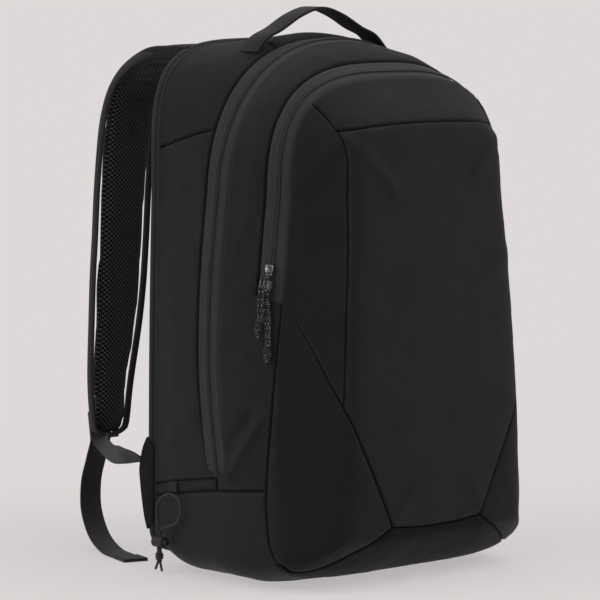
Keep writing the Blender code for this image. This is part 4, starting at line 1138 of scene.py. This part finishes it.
def patch(name, bottom, top, left, right, materials, wrap=None, **options):
    """Piece of the front face between four edges in x and z.

    wrap is the side, -1 or 1, on which the piece runs on round the front edge.
    """
    def flat(u, v):
        """Points at shares u across and v up, from the four edges."""
        low, high = at_shares(bottom, u), at_shares(top, u)
        a, b = u[..., None], v[..., None]
        spot = low * (1 - b) + high * b
        if len(left) > 1:
            spot = spot + at_shares(left, v) * (1 - a) + at_shares(right, v) * a
            spot -= ((bottom[0] * (1 - a) + bottom[-1] * a) * (1 - b) + (top[0] * (1 - a) + top[-1] * a) * b)
        return cap(spot[..., 0], spot[..., 1])

    bottom, top, left, right = (np.asarray(e, float) for e in (bottom, top, left, right))
    fine = 0.5 - 0.5 * np.cos(np.linspace(0, np.pi, 260))
    column = run_length(flat(np.full(len(fine), 0.5), fine), 0)
    v = np.interp(steps(column[-1]) * column[-1], column, fine)
    even = steps(max(length_of(bottom), length_of(top)))
    u, v = np.meshgrid(fine, v)
    rows = run_length(flat(u, v), 1)
    u = np.array([np.interp(even * run[-1], run, fine) for run in rows])
    points = flat(u, v[:, :len(even)])
    if wrap is not None:
        points = wrapped(points, wrap)
    return panel(name, points, grid_normals(points), materials, **options)


def wrap_width(z):
    """How far the corner panels run back round the front edge at height z."""
    return np.interp(z, (0.024, 0.045, 0.08, 0.12, 0.17, 0.23, APEX[1]),
                     (0.0, 0.0085, 0.0120, 0.0100, 0.0060, 0.0025, 0.0))


def edge_q(z):
    """Place round the front edge at height z on its sides, as shell() takes it."""
    return np.interp(z, EDGE_SIDE[:, 1], np.linspace(3 * EDGE_FOOT / EDGE_STEPS, 3, len(EDGE_SIDE)))


def wrapped(points, side):
    """The grid with columns added at its first edge, which run back over the bag's side."""
    z = points[:, 0, 2]
    shares = np.array((1.0, 0.97, 0.93, 0.86, 0.72, 0.52, 0.3, 0.12))   # closer at the seam
    y = FRONT_Y + wrap_width(z)[:, None] * shares[None, :]
    added = shell(y, edge_q(z)[:, None], side)
    points = np.concatenate([added, points], 1)
    first, last = len(shares) - 3, len(shares) + 4
    for _ in range(4):                  # rounds the front edge off
        around = 0.5 * (points[:, first - 1:last - 1] + points[:, first + 1:last + 1])
        points[:, first:last] = 0.5 * (points[:, first:last] + around)
    return points


def outer_line(z0, z1):
    """The left front edge from height z0 to z1."""
    z = np.linspace(z0, z1, 60)
    return np.stack([-edge_x(z), z], -1)


def split_at(line, z):
    """Two parts of a line that rises, cut at height z."""
    line = np.asarray(line)
    x = np.interp(z, line[:, 1], line[:, 0])
    cut = np.array([[x, z]])
    return np.concatenate([line[line[:, 1] < z], cut]), np.concatenate([cut, line[line[:, 1] > z]])


TIP = 0.0016                # width of a corner panel at its upper tip


def front_face():
    """Corner and facet panels on both sides, the yoke, and the main panel."""
    edge = -edge_x(APEX[1])
    diagonal = smooth_line(((TIP + edge, APEX[1]), *DIAGONAL[1:]), 90)      # apex down to the foot
    knee = np.argmin(np.linalg.norm(diagonal - DIAGONAL[KNEE], axis=1))
    upright = smooth_line(UPRIGHT, 90)
    upright[0] = diagonal[knee]
    tip = np.array([(edge, APEX[1]), (TIP + edge, APEX[1])])
    for word, side in SIDES:
        flip_x = np.array((-side, 1))
        corner = patch("corner_cloth_" + word, toe_line()[::-1] * flip_x, tip * flip_x,
                       outer_line(HEEL_Z, APEX[1]) * flip_x, diagonal[::-1] * flip_x, [SHADED_CORNER, LINING],
                       wrap=side)
        put(corner, LOW_BEND, "coated_fabric", "corner_panel_" + word)
        facet = patch("facet_cloth_" + word, diagonal[:knee + 1] * flip_x, yoke_side()[::-1] * flip_x,
                      outer_line(APEX[1], YOKE_Z) * flip_x, upright * flip_x, [CLOTH, LINING])
        put(facet, HIGH_BEND, "face_fabric", "facet_panel_" + word)
    main_panel(np.concatenate([diagonal[knee:][::-1], upright[1:]]))
    yoke = patch("yoke_cloth", smooth_line(YOKE_SEAM, 90), crest_line(), yoke_side(), mirrored(yoke_side()),
                 [CLOTH, LINING])
    put(yoke, HIGH_BEND, "face_fabric", "yoke_panel")


def yoke_side():
    """Left side of the yoke, from the upright seam out to the front edge."""
    return smooth_line((UPRIGHT[-1], (-0.1030, 0.4370), (-edge_x(YOKE_Z), YOKE_Z)), 40)


def crest_line():
    """Top of the front edge, from the yoke's left end to its right end."""
    turn = 3 - edge_q(YOKE_Z)
    return over(FRONT_Y, np.linspace(-turn, turn, 200))[:, [0, 2]]


def main_panel(left):
    """The main panel from its left edge, cut between the fold lines of the two openings."""
    low_left, high_left = split_at(left, SPLIT_Z)
    cut = np.array([low_left[-1], mirrored(low_left[-1:])[0]])
    lower = patch("main_cloth_lower", smooth_line(BOTTOM_SEAM, 90), cut, low_left, mirrored(low_left),
                  [CLOTH, LINING], sewn="wes")
    upper = patch("main_cloth_upper", cut, smooth_line(YOKE_SEAM, 90), high_left, mirrored(high_left),
                  [CLOTH, LINING], sewn="wen")
    put(lower, LOW_BEND, "face_fabric", "main_panel_lower")
    put(upper, HIGH_BEND, "face_fabric", "main_panel_upper")


# ---------------------------------------------------------------- the back and the inside
def inflate(obj, voxel, reach, pressure=4.0, frames=20):
    """Fills a soft piece: remesh, cloth with pressure, movement capped, one subdivision."""
    remesh = obj.modifiers.new("remesh", "REMESH")
    remesh.mode, remesh.voxel_size = "VOXEL", voxel
    rebuilt(obj)
    start = vertices(obj)
    cloth = obj.modifiers.new("cloth", "CLOTH")
    cloth.settings.use_pressure = True
    cloth.settings.uniform_pressure_force = pressure
    cloth.settings.effector_weights.gravity = 0.0
    cloth.settings.quality = 6
    scene = bpy.context.scene
    for step in range(1, frames + 1):
        scene.frame_set(step)
    rebuilt(obj)
    scene.frame_set(1)
    moved = vertices(obj) - start
    far = np.linalg.norm(moved, axis=1, keepdims=True)
    moved *= np.minimum(1.0, reach / np.maximum(far, 1e-9))
    set_vertices(obj, start + moved)
    relax = obj.modifiers.new("relax", "SMOOTH")
    relax.factor, relax.iterations = 0.5, 3
    fine = obj.modifiers.new("fine", "SUBSURF")
    fine.levels = fine.render_levels = 1
    rebuilt(obj)
    obj.data.shade_smooth()
    return obj


def rebuilt(obj):
    """Applies the object's modifiers."""
    graph = bpy.context.evaluated_depsgraph_get()
    mesh = bpy.data.meshes.new_from_object(obj.evaluated_get(graph))
    obj.modifiers.clear()
    obj.data = mesh


def outline_ring(y, inset, count=96):
    """The back's outline at depth y, brought in by inset."""
    half = np.concatenate([np.linspace(0, 1, count // 6 + 1), np.linspace(1, 3, count // 3 + 1)[1:]])
    p = shell(REAR_Y - 0.0005, half, -1)
    ring = np.concatenate([p, p[-2:0:-1] * (-1, 1, 1)])
    ring[:, 0] *= 1 - inset / 0.146
    ring[:, 2] = 0.25 + (ring[:, 2] - 0.25) * (1 - inset / 0.24)
    ring[:, 1] = y
    return ring


CUSHION_ROWS = ((0.048, 0.166), (0.182, 0.312), (0.328, 0.458))     # bottom and top of each row
CUSHION_X = (0.013, 0.122)  # inner and outer edge of each column
CUSHION_TOP = 0.1065        # depth beyond which the filled cushions are flattened


def back_panel():
    """Air-mesh back with six raised foam cushions and the channels between them."""
    rings = [outline_ring(0.0835, 0.012), outline_ring(0.0930, 0.0062), outline_ring(0.0960, 0.0075)]
    for inset, y in ((0.012, 0.0968), (0.03, 0.0966), (0.06, 0.0963), (0.10, 0.0963), (0.14, 0.0963)):
        rings.append(outline_ring(y, min(inset, 0.13)))
    ground = loft("back_cloth", rings, [MESH])
    set_uv(ground, vertices(ground)[:, [0, 2]])
    put(ground, "root", "air_mesh", "back_pad")
    blocks = [cushion_block(side, low, high) for low, high in CUSHION_ROWS for side in (-1, 1)]
    cushions = inflate(join("back_cushions", blocks), 0.0048, 0.006)
    co = vertices(cushions)
    co[:, 1] = np.minimum(co[:, 1], CUSHION_TOP + (co[:, 1] - CUSHION_TOP) * 0.15)
    set_vertices(cushions, co)
    cover_with(cushions, MESH)
    set_uv(cushions, co[:, [0, 2]])
    put(cushions, "root", "air_mesh")


def cushion_block(side, low, high):
    """One cushion before it is filled; its outer corners follow the bag's outline."""
    wide = (CUSHION_X[1] - CUSHION_X[0]) / 2
    tall = (high - low) / 2
    centre = (side * (CUSHION_X[0] + wide), (low + high) / 2)
    rings = []
    for y, share in ((0.0942, 0.96), (0.0990, 0.99), (0.1015, 0.92)):
        ring = []
        for a in np.linspace(0, 2 * np.pi, 40, endpoint=False):
            x, z = superellipse(a, 5.0)
            ring.append((centre[0] + x * wide * share, y, centre[1] + z * tall * share))
        rings.append(ring)
    return loft("cushion", rings, [MESH])


def facing_front(points):
    """Normals of an upright wall that faces the front."""
    normals = np.zeros_like(points)
    normals[..., 1] = -1
    return normals


DIVIDER_Y, DIVIDER_LOW = -0.0195, 0.0915


def divider():
    """Lining cloth wall across the bag, sewn in between the two compartments."""
    edge = shell(DIVIDER_Y, np.linspace(side_q(DIVIDER_LOW), 2.93, 130), 1)
    x = (edge[:, 0] - 0.004)[:, None] * np.linspace(-1, 1, 90)[None, :]
    z = np.maximum(edge[:, 2] - 0.006, DIVIDER_LOW)[:, None] + 0 * x
    points = np.stack([x, np.full_like(x, DIVIDER_Y), z], -1)
    wall = panel("divider_cloth", points, facing_front(points), [LINING, LINING], thick=0.0026, life=1.2)
    put(wall, LOW_BEND, "lining", "divider")
    size = np.ptp(vertices(wall), axis=0)


def laptop_pocket():
    """Quilted sleeve in front of the back."""
    u, v = np.meshgrid(np.linspace(-0.131, 0.131, 90), np.linspace(0.025, 0.355, 110))
    quilt = 0.0016 * np.abs(np.sin(np.pi * (u + v) / 0.044) * np.sin(np.pi * (u - v) / 0.044)) ** 0.5
    points = np.stack([u, 0.0505 - quilt, v], -1)
    sleeve = panel("laptop_pocket", points, facing_front(points), [LINING, LINING], thick=0.0042, life=0.6)
    put(sleeve, "root", "lining", "laptop_sleeve")


# ---------------------------------------------------------------- webbing and straps
def ribbon_rings(points, wide, thick, across, count, round_share=0.5, corner=3):
    """Sections of a flat band along a smooth path; across is its width direction."""
    path = smooth_line(points, count)
    way = unit(np.gradient(path, axis=0))
    rings, sides, ups = [], [], []
    for k, (p, w) in enumerate(zip(path, way)):
        u = k / (count - 1)
        side = np.asarray(across(u) if callable(across) else across, float)
        side = unit(side - w * (side @ w))
        up = np.cross(w, side)
        a = (wide(u) if callable(wide) else wide) / 2
        b = (thick(u) if callable(thick) else thick) / 2
        soft = min(a, b) * round_share
        ring = []
        for cx, cy, start in ((1, 1, 0), (-1, 1, 90), (-1, -1, 180), (1, -1, 270)):
            for i in range(corner):
                angle = math.radians(start + 90 * i / (corner - 1))
                ring.append(p + side * (cx * (a - soft) + soft * math.cos(angle))
                            + up * (cy * (b - soft) + soft * math.sin(angle)))
        rings.append(ring)
        sides.append(side)
        ups.append(up)
    return np.array(rings), path, np.array(sides), np.array(ups)


def ribbon(name, points, wide, thick, material, across, count=60):
    """Webbing: its UV runs across the band and along it, the same on both faces."""
    rings, path, sides, _ = ribbon_rings(points, wide, thick, across, count)
    obj = loft(name, rings, [material])
    along = run_length(path, 0)
    lateral = ((rings - path[:, None]) * sides[:, None]).sum(-1)
    set_uv(obj, np.stack([lateral, np.broadcast_to(along[:, None], lateral.shape)], -1).reshape(-1, 2))
    return obj


STRAP_PATH = ((-0.074, 0.112, 0.4875), (-0.075, 0.150, 0.484), (-0.077, 0.186, 0.462),
              (-0.079, 0.2045, 0.425), (-0.081, 0.2120, 0.365), (-0.083, 0.2150, 0.300),
              (-0.085, 0.2195, 0.230), (-0.087, 0.2252, 0.170), (-0.088, 0.2260, 0.142),
              (-0.0885, 0.2256, 0.109))
STRAP_STEPS = 70
TAIL_PATH = ((-0.0885, 0.2402, 0.1330), (-0.0885, 0.2410, 0.1200), (-0.0885, 0.2400, 0.1050),
             (-0.091, 0.2440, 0.085), (-0.095, 0.2470, 0.062), (-0.101, 0.2400, 0.036),
             (-0.110, 0.2180, 0.014), (-0.120, 0.1880, 0.0030), (-0.1290, 0.1560, 0.0012),
             (-0.137, 0.1300, 0.0012))
LOCK_WEB_PATH = ((-0.088, 0.2300, 0.146), (-0.0884, 0.2335, 0.1300), (-0.0886, 0.2385, 0.1225),
                 (-0.0886, 0.2405, 0.1290), (-0.0882, 0.2370, 0.1460))
LOWER_WEB_PATH = ((-0.1530, 0.1010, 0.105), (-0.1525, 0.1130, 0.106), (-0.147, 0.138, 0.104),
                  (-0.130, 0.172, 0.100), (-0.112, 0.205, 0.1025), (-0.0985, 0.2290, 0.1090),
                  (-0.0930, 0.2370, 0.1150))
# Outline of the sewn wing, as distance off the side and height, and its layers from inside to outside.
WING_EDGE = ((-0.0040, 0.126), (0.0004, 0.118), (0.0036, 0.108), (0.0058, 0.096), (0.0052, 0.086),
             (0.0028, 0.068), (-0.0004, 0.050), (-0.0040, 0.038))
WING_ROOT = ((-0.012, 0.046), (-0.012, 0.082), (-0.012, 0.118))
WING_LAYERS = ((-0.0002, 0.93), (0.0002, 0.985), (0.0010, 1.0), (0.0020, 1.0), (0.0028, 0.985),
               (0.0032, 0.93))
WEB_WIDE = 0.025


def flip(points, side):
    """A line of the left side, put on side -1 or 1."""
    return [(p[0] * -side, *p[1:]) for p in points]


def pad_width(u):
    """Width of a shoulder pad at share u of its length: it narrows towards the lower end."""
    return 0.068 - 0.026 * max(0.0, (u - 0.62) / 0.38) ** 1.6 - 0.010 * max(0.0, (0.12 - u) / 0.12)


def outer_sign(ups):
    """1 where a strap's normals point away from the bag, -1 where they point to it."""
    return np.sign(ups[STRAP_STEPS // 2] @ (0, 1, 0))


def strap_pad():
    """The left pad, filled by simulation: air mesh inside, cloth outside."""
    def narrow(u):
        end = min(1.0, max(0.0, (1.0 - u) / 0.035)) ** 0.5
        return (pad_width(u) - 0.0050) * (0.62 + 0.38 * end)

    def thin(u):
        return 0.0090 - 0.003 * max(0.0, (u - 0.8) / 0.2)

    rings, path, sides, ups = ribbon_rings(STRAP_PATH, narrow, thin, (1, 0, 0), STRAP_STEPS, 0.8, 4)
    pad = inflate(loft("strap_cushion", rings, [MESH]), 0.0046, 0.0045)
    co = vertices(pad)
    nearest = np.argmin(np.linalg.norm(co[:, None] - path[None], axis=-1), axis=1)
    run = run_length(path, 0)
    lateral = ((co - path[nearest]) * sides[nearest]).sum(-1)
    way = unit(np.gradient(path, axis=0))
    along = run[nearest] + ((co - path[nearest]) * way[nearest]).sum(-1)
    set_uv(pad, np.stack([lateral, along], -1))
    cover_with(pad, MESH, CLOTH)
    centres = np.array([p.center[:] for p in pad.data.polygons])
    near = np.argmin(np.linalg.norm(centres[:, None] - path[None, ::2], axis=-1), axis=1) * 2
    height = ((centres - path[near]) * ups[near]).sum(-1)
    outside = height * outer_sign(ups) > 0.0012
    pad.data.polygons.foreach_set("material_index", outside.astype(np.int32))
    return pad, path, sides, ups


def mirror_copy(obj, name):
    """The same piece on the other side of the bag."""
    mesh = obj.data.copy()
    mesh.transform(Matrix.Diagonal((-1, 1, 1, 1)))
    mesh.flip_normals()
    copy = bpy.data.objects.new(name, mesh)
    bpy.context.collection.objects.link(copy)
    return copy


def strap_binding(path, sides, ups):
    """Bound edges of a shoulder pad, down one side, round the end and up the other."""
    count = len(path)
    share = np.linspace(0, 1, count)
    half = np.array([pad_width(u) / 2 - 0.0012 for u in share])
    left = path - sides * half[:, None]
    right = path + sides * half[:, None]
    start, stop = 3, count - 3
    end_centre = path[stop]
    way = unit(path[-1] - path[-3])
    turn = [end_centre + sides[stop] * -half[stop] * math.cos(a) + way * 0.012 * math.sin(a)
            for a in np.linspace(0, np.pi, 16)[1:-1]]
    line = smooth_line(np.concatenate([left[start:stop], turn, right[start:stop][::-1]])[::2], 200)
    way_line = unit(np.gradient(line, axis=0))
    nearest = np.argmin(np.linalg.norm(line[:, None] - path[None], axis=-1), axis=1)
    rings = []
    for p, w, k in zip(line, way_line, nearest):
        up = unit(ups[k] - w * (ups[k] @ w))
        out = np.cross(w, up)
        angles = np.linspace(0, 2 * np.pi, 12, endpoint=False)
        rings.append([p + up * 0.0043 * math.sin(a) + out * 0.0021 * math.cos(a) for a in angles])
    return loft("strap_binding", rings, [BINDING], smooth=70)


def shoulder_straps():
    """Pads with their bound edges, the webbing sewn along them, covers, adjusters and lower webbings."""
    pad, path, sides, ups = strap_pad()
    edge = strap_binding(path, sides, ups)
    webbing_line = path[6:60] + ups[6:60] * outer_sign(ups) * 0.0066
    web = ribbon("strap_webbing", webbing_line[::3], 0.022, 0.0016, WEBBING, (1, 0, 0), 70)
    root_end = np.array(((-0.074, 0.0940, 0.4868), (-0.074, 0.1030, 0.4872)))
    cover = ribbon("strap_cover", np.concatenate([root_end, path[:15]]),
                   lambda u: 0.0595 + 0.0062 * min(u * 2, 1), lambda u: 0.0150 - 0.0028 * u,
                   CLOTH, (1, 0, 0), 24)
    for word, side in SIDES:
        body = "strap_" + word
        group = []
        for piece, name in ((pad, "strap_cushion_"), (edge, "strap_binding_"), (web, "strap_webbing_"),
                            (cover, "strap_cover_")):
            if side < 0:
                piece.name = name + "left"
                group.append(piece)
            else:
                group.append(mirror_copy(piece, name + "right"))
        put(group[0], body, "air_mesh", "strap_pad_" + word)
        put(group[1], body, "webbing")
        put(group[2], body, "webbing")
        put(group[3], ("root", body, (0, 0.100, 0.487), (0, 0.118, 0.487)), "face_fabric")
        tail = ribbon("tail_webbing_" + word, flip(TAIL_PATH, side), WEB_WIDE, 0.0017, WEBBING, (1, 0, 0), 80)
        put(tail, body, "webbing", "strap_tail_" + word)
        hem_line = smooth_line(flip(TAIL_PATH, side), 80)[-9:] + (0, 0, 0.0016)
        hem = ribbon("tail_hem_" + word, hem_line, WEB_WIDE - 0.0006, 0.0015, WEBBING, (1, 0, 0), 16)
        put(hem, body, "webbing")
        anchor = ribbon("lock_webbing_" + word, flip(LOCK_WEB_PATH, side), WEB_WIDE - 0.001, 0.0014,
                        WEBBING, (1, 0, 0), 40)
        put(anchor, body, "webbing")
        lower_webbing(word, side)
        wing(word, side)


def lower_webbing(word, side):
    """Webbing from the wing to the ladder lock; it turns over on its way."""
    def twist(u):
        turn = math.radians(20 + 150 * u)
        return side * 0.68 * math.cos(turn), -0.73 * math.cos(turn), 0.85 * math.sin(turn)

    route = flip(LOWER_WEB_PATH, side)
    band_piece = ribbon("lower_band_" + word, route, 0.018, 0.0016, WEBBING, twist, 60)
    put(band_piece, ("root", "strap_" + word, route[0], route[-1]), "webbing", "lower_webbing_" + word)


def wing(word, side):
    """The sewn cloth wing that holds the lower webbing at the bag's rear edge."""
    outline = np.concatenate([smooth_line(WING_EDGE, 40), WING_ROOT])
    centre = outline.mean(0)
    rings = []
    for dx, share in WING_LAYERS:
        ring = (outline - centre) * (share, 1 - (1 - share) * 0.3) + centre
        rings.append([(side * (0.1505 + dx + out * 0.30), 0.0992 + out * 0.8, z) for out, z in ring])
    piece = loft("wing_cloth_" + word, rings, [CLOTH], smooth=40)
    set_uv(piece, vertices(piece)[:, [1, 2]])
    put(piece, "root", "face_fabric", "strap_wing_" + word)


HANDLE_Y = 0.027
HANDLE_LEFT = ((-0.084, HANDLE_Y, 0.4900), (-0.070, HANDLE_Y, 0.5030), (-0.052, HANDLE_Y, 0.5105),
               (-0.026, HANDLE_Y, 0.5235))
HANDLE_PATH = (*HANDLE_LEFT, (0.0, HANDLE_Y, 0.5300), *mirrored(HANDLE_LEFT)[::-1])


def handle():
    """The webbing loop on top, its ends sewn into the crown's seams."""
    grip = ribbon("handle_webbing", HANDLE_PATH, WEB_WIDE, 0.0026, GRIP, (0, 1, 0), 90)
    put(grip, "handle", "webbing", "carry_handle")


# ---------------------------------------------------------------- hard parts and stitches
def hard_parts():
    """CAD nodes whose shape is right: rounded edges and their own materials."""
    finishes = {"ladder_lock_left": (PLASTIC, 0.0008), "ladder_lock_right": (PLASTIC, 0.0008),
                "cord_lock_barrel": (PLASTIC, 0.0003), "cord_lock_button": (PLASTIC, 0.0003),
                "cord_lock_spring": (METAL, 0.0), "frame_sheet": (PLASTIC, 0.0004),
                "cord_loop_tab": (BINDING, 0.0004)}
    for zip_name, place, *_ in PULLS:
        finishes[zip_name + "_slider_" + place] = (METAL, 0.0004)
    for name, (material, width) in finishes.items():
        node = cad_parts[name]
        for slot in node.material_slots:
            slot.material = material
        if width:
            bevel = node.modifiers.new("soft_edges", "BEVEL")
            bevel.width, bevel.segments, bevel.limit_method = width, 2, "ANGLE"
            bevel.angle_limit = math.radians(35)


STITCH, STITCH_GAP = 0.0024, 0.0011
STITCH_LIFT = 0.0002
STITCH_BESIDE = 0.0034      # from a seam to the stitches beside it
THREAD_SECTION = ((-0.00022, 0.0), (-0.00012, 0.00030), (0.00012, 0.00030), (0.00022, 0.0))
THREAD_RISE = (0.35, 1.0, 1.0, 0.35)


def stitch_line(points, normals):
    """Short raised threads along a line on the surface, as verts and faces."""
    run = run_length(points, 0)
    count = max(int(run[-1] / (STITCH + STITCH_GAP)), 1)
    verts, faces = [], []
    for k in range(count):
        s = (k + 0.5) * run[-1] / count + np.array((-0.5, -0.3, 0.3, 0.5)) * STITCH
        p = np.stack([np.interp(s, run, points[:, i]) for i in range(3)], -1)
        n = unit(np.stack([np.interp(s, run, normals[:, i]) for i in range(3)], -1))
        w = unit(np.gradient(p, axis=0))
        side = np.cross(w, n)
        start = len(verts)
        for i, rise in enumerate(THREAD_RISE):
            for a, b in THREAD_SECTION:
                verts.append(p[i] + side[i] * a + n[i] * (STITCH_LIFT + b * rise))
        for i in range(3):
            row = start + i * 4
            for j in range(4):
                m = (j + 1) % 4
                faces.append((row + j, row + m, row + 4 + m, row + 4 + j))
        faces.append((start + 3, start + 2, start + 1, start))
        faces.append((start + 12, start + 13, start + 14, start + 15))
    return verts, faces


def stitches(name, lines, body):
    """One piece with the stitches of several lines."""
    verts, faces = [], []
    for points, normals in lines:
        v, f = stitch_line(points, normals)
        faces += [tuple(i + len(verts) for i in face) for face in f]
        verts += v
    obj = new_object(name, verts, faces, [THREAD], 60)
    face_outward(obj)
    put(obj, body, "webbing")


def shell_line(turns, y):
    """A line on the sides, and its normals."""
    y = np.broadcast_to(np.asarray(y, float), turns.shape)
    points = over(y, turns)
    return points, away_from(points, normals_of(over, y, turns, 0.002, 0.008), MIDDLE)


def zip_line(turns, edge):
    """A line beside the main zip, which follows its bend."""
    return shell_line(turns, beside_zip(over(0 * turns, turns)[:, 2], edge))


def cap_line(line, beside):
    """A line on the front face, moved sideways in x and z."""
    line = np.asarray(line, float)
    way = unit(np.gradient(line, axis=0))
    line = line + np.stack([-way[:, 1], way[:, 0]], -1) * beside
    normals = normals_of(cap, line[:, 0], line[:, 1], 0.0015, 0.0015)
    return cap(line[:, 0], line[:, 1]), normals * -np.sign(normals[:, 1:2])


def all_stitches():
    """Rows of stitches beside the zips and seams."""
    up = np.linspace(-1.84, 1.84, 900)
    root_lines = [zip_line(up, MAIN_ZIP_HALF + STITCH_BESIDE), shell_line(up, 0.0858)]
    for side in (-1, 1):
        y = np.linspace(0.084, MAIN_ZIP_HALF + 0.006, 60)
        root_lines.append(shell_line(side * (yoke_turn(y) - 0.018), y))
        root_lines.append(shell_line(side * turn_at(boot_top(y) - 0.0032), y))
        root_lines.append(shell_line(side * turn_at(boot_top(y) + BAND_Z + 0.0032), y))
    stitches("side_stitches", root_lines, "root")
    stitches("middle_stitches", [zip_line(up, -MAIN_ZIP_HALF - STITCH_BESIDE)], LOW_BEND)
    short = np.linspace(-1.26, 1.26, 700)
    rim = FRONT_ZIP_Y + FRONT_ZIP_HALF + STITCH_BESIDE
    stitches("rim_stitches", [shell_line(short, rim)], "front_half")
    seam = smooth_line(YOKE_SEAM, 200)[4:-4]
    stitches("face_stitches", [cap_line(seam, STITCH_BESIDE)], HIGH_BEND)


# ---------------------------------------------------------------- the whole bag
def main():
    camera()
    lights()
    floor()
    for pull in PULLS:
        zip_pull(*pull)
    cord_loop()
    base()
    rear_gusset()
    mid_gusset()
    zips()
    rear_piping()
    front_face()
    back_panel()
    divider()
    laptop_pocket()
    shoulder_straps()
    handle()
    hard_parts()
    all_stitches()


main()
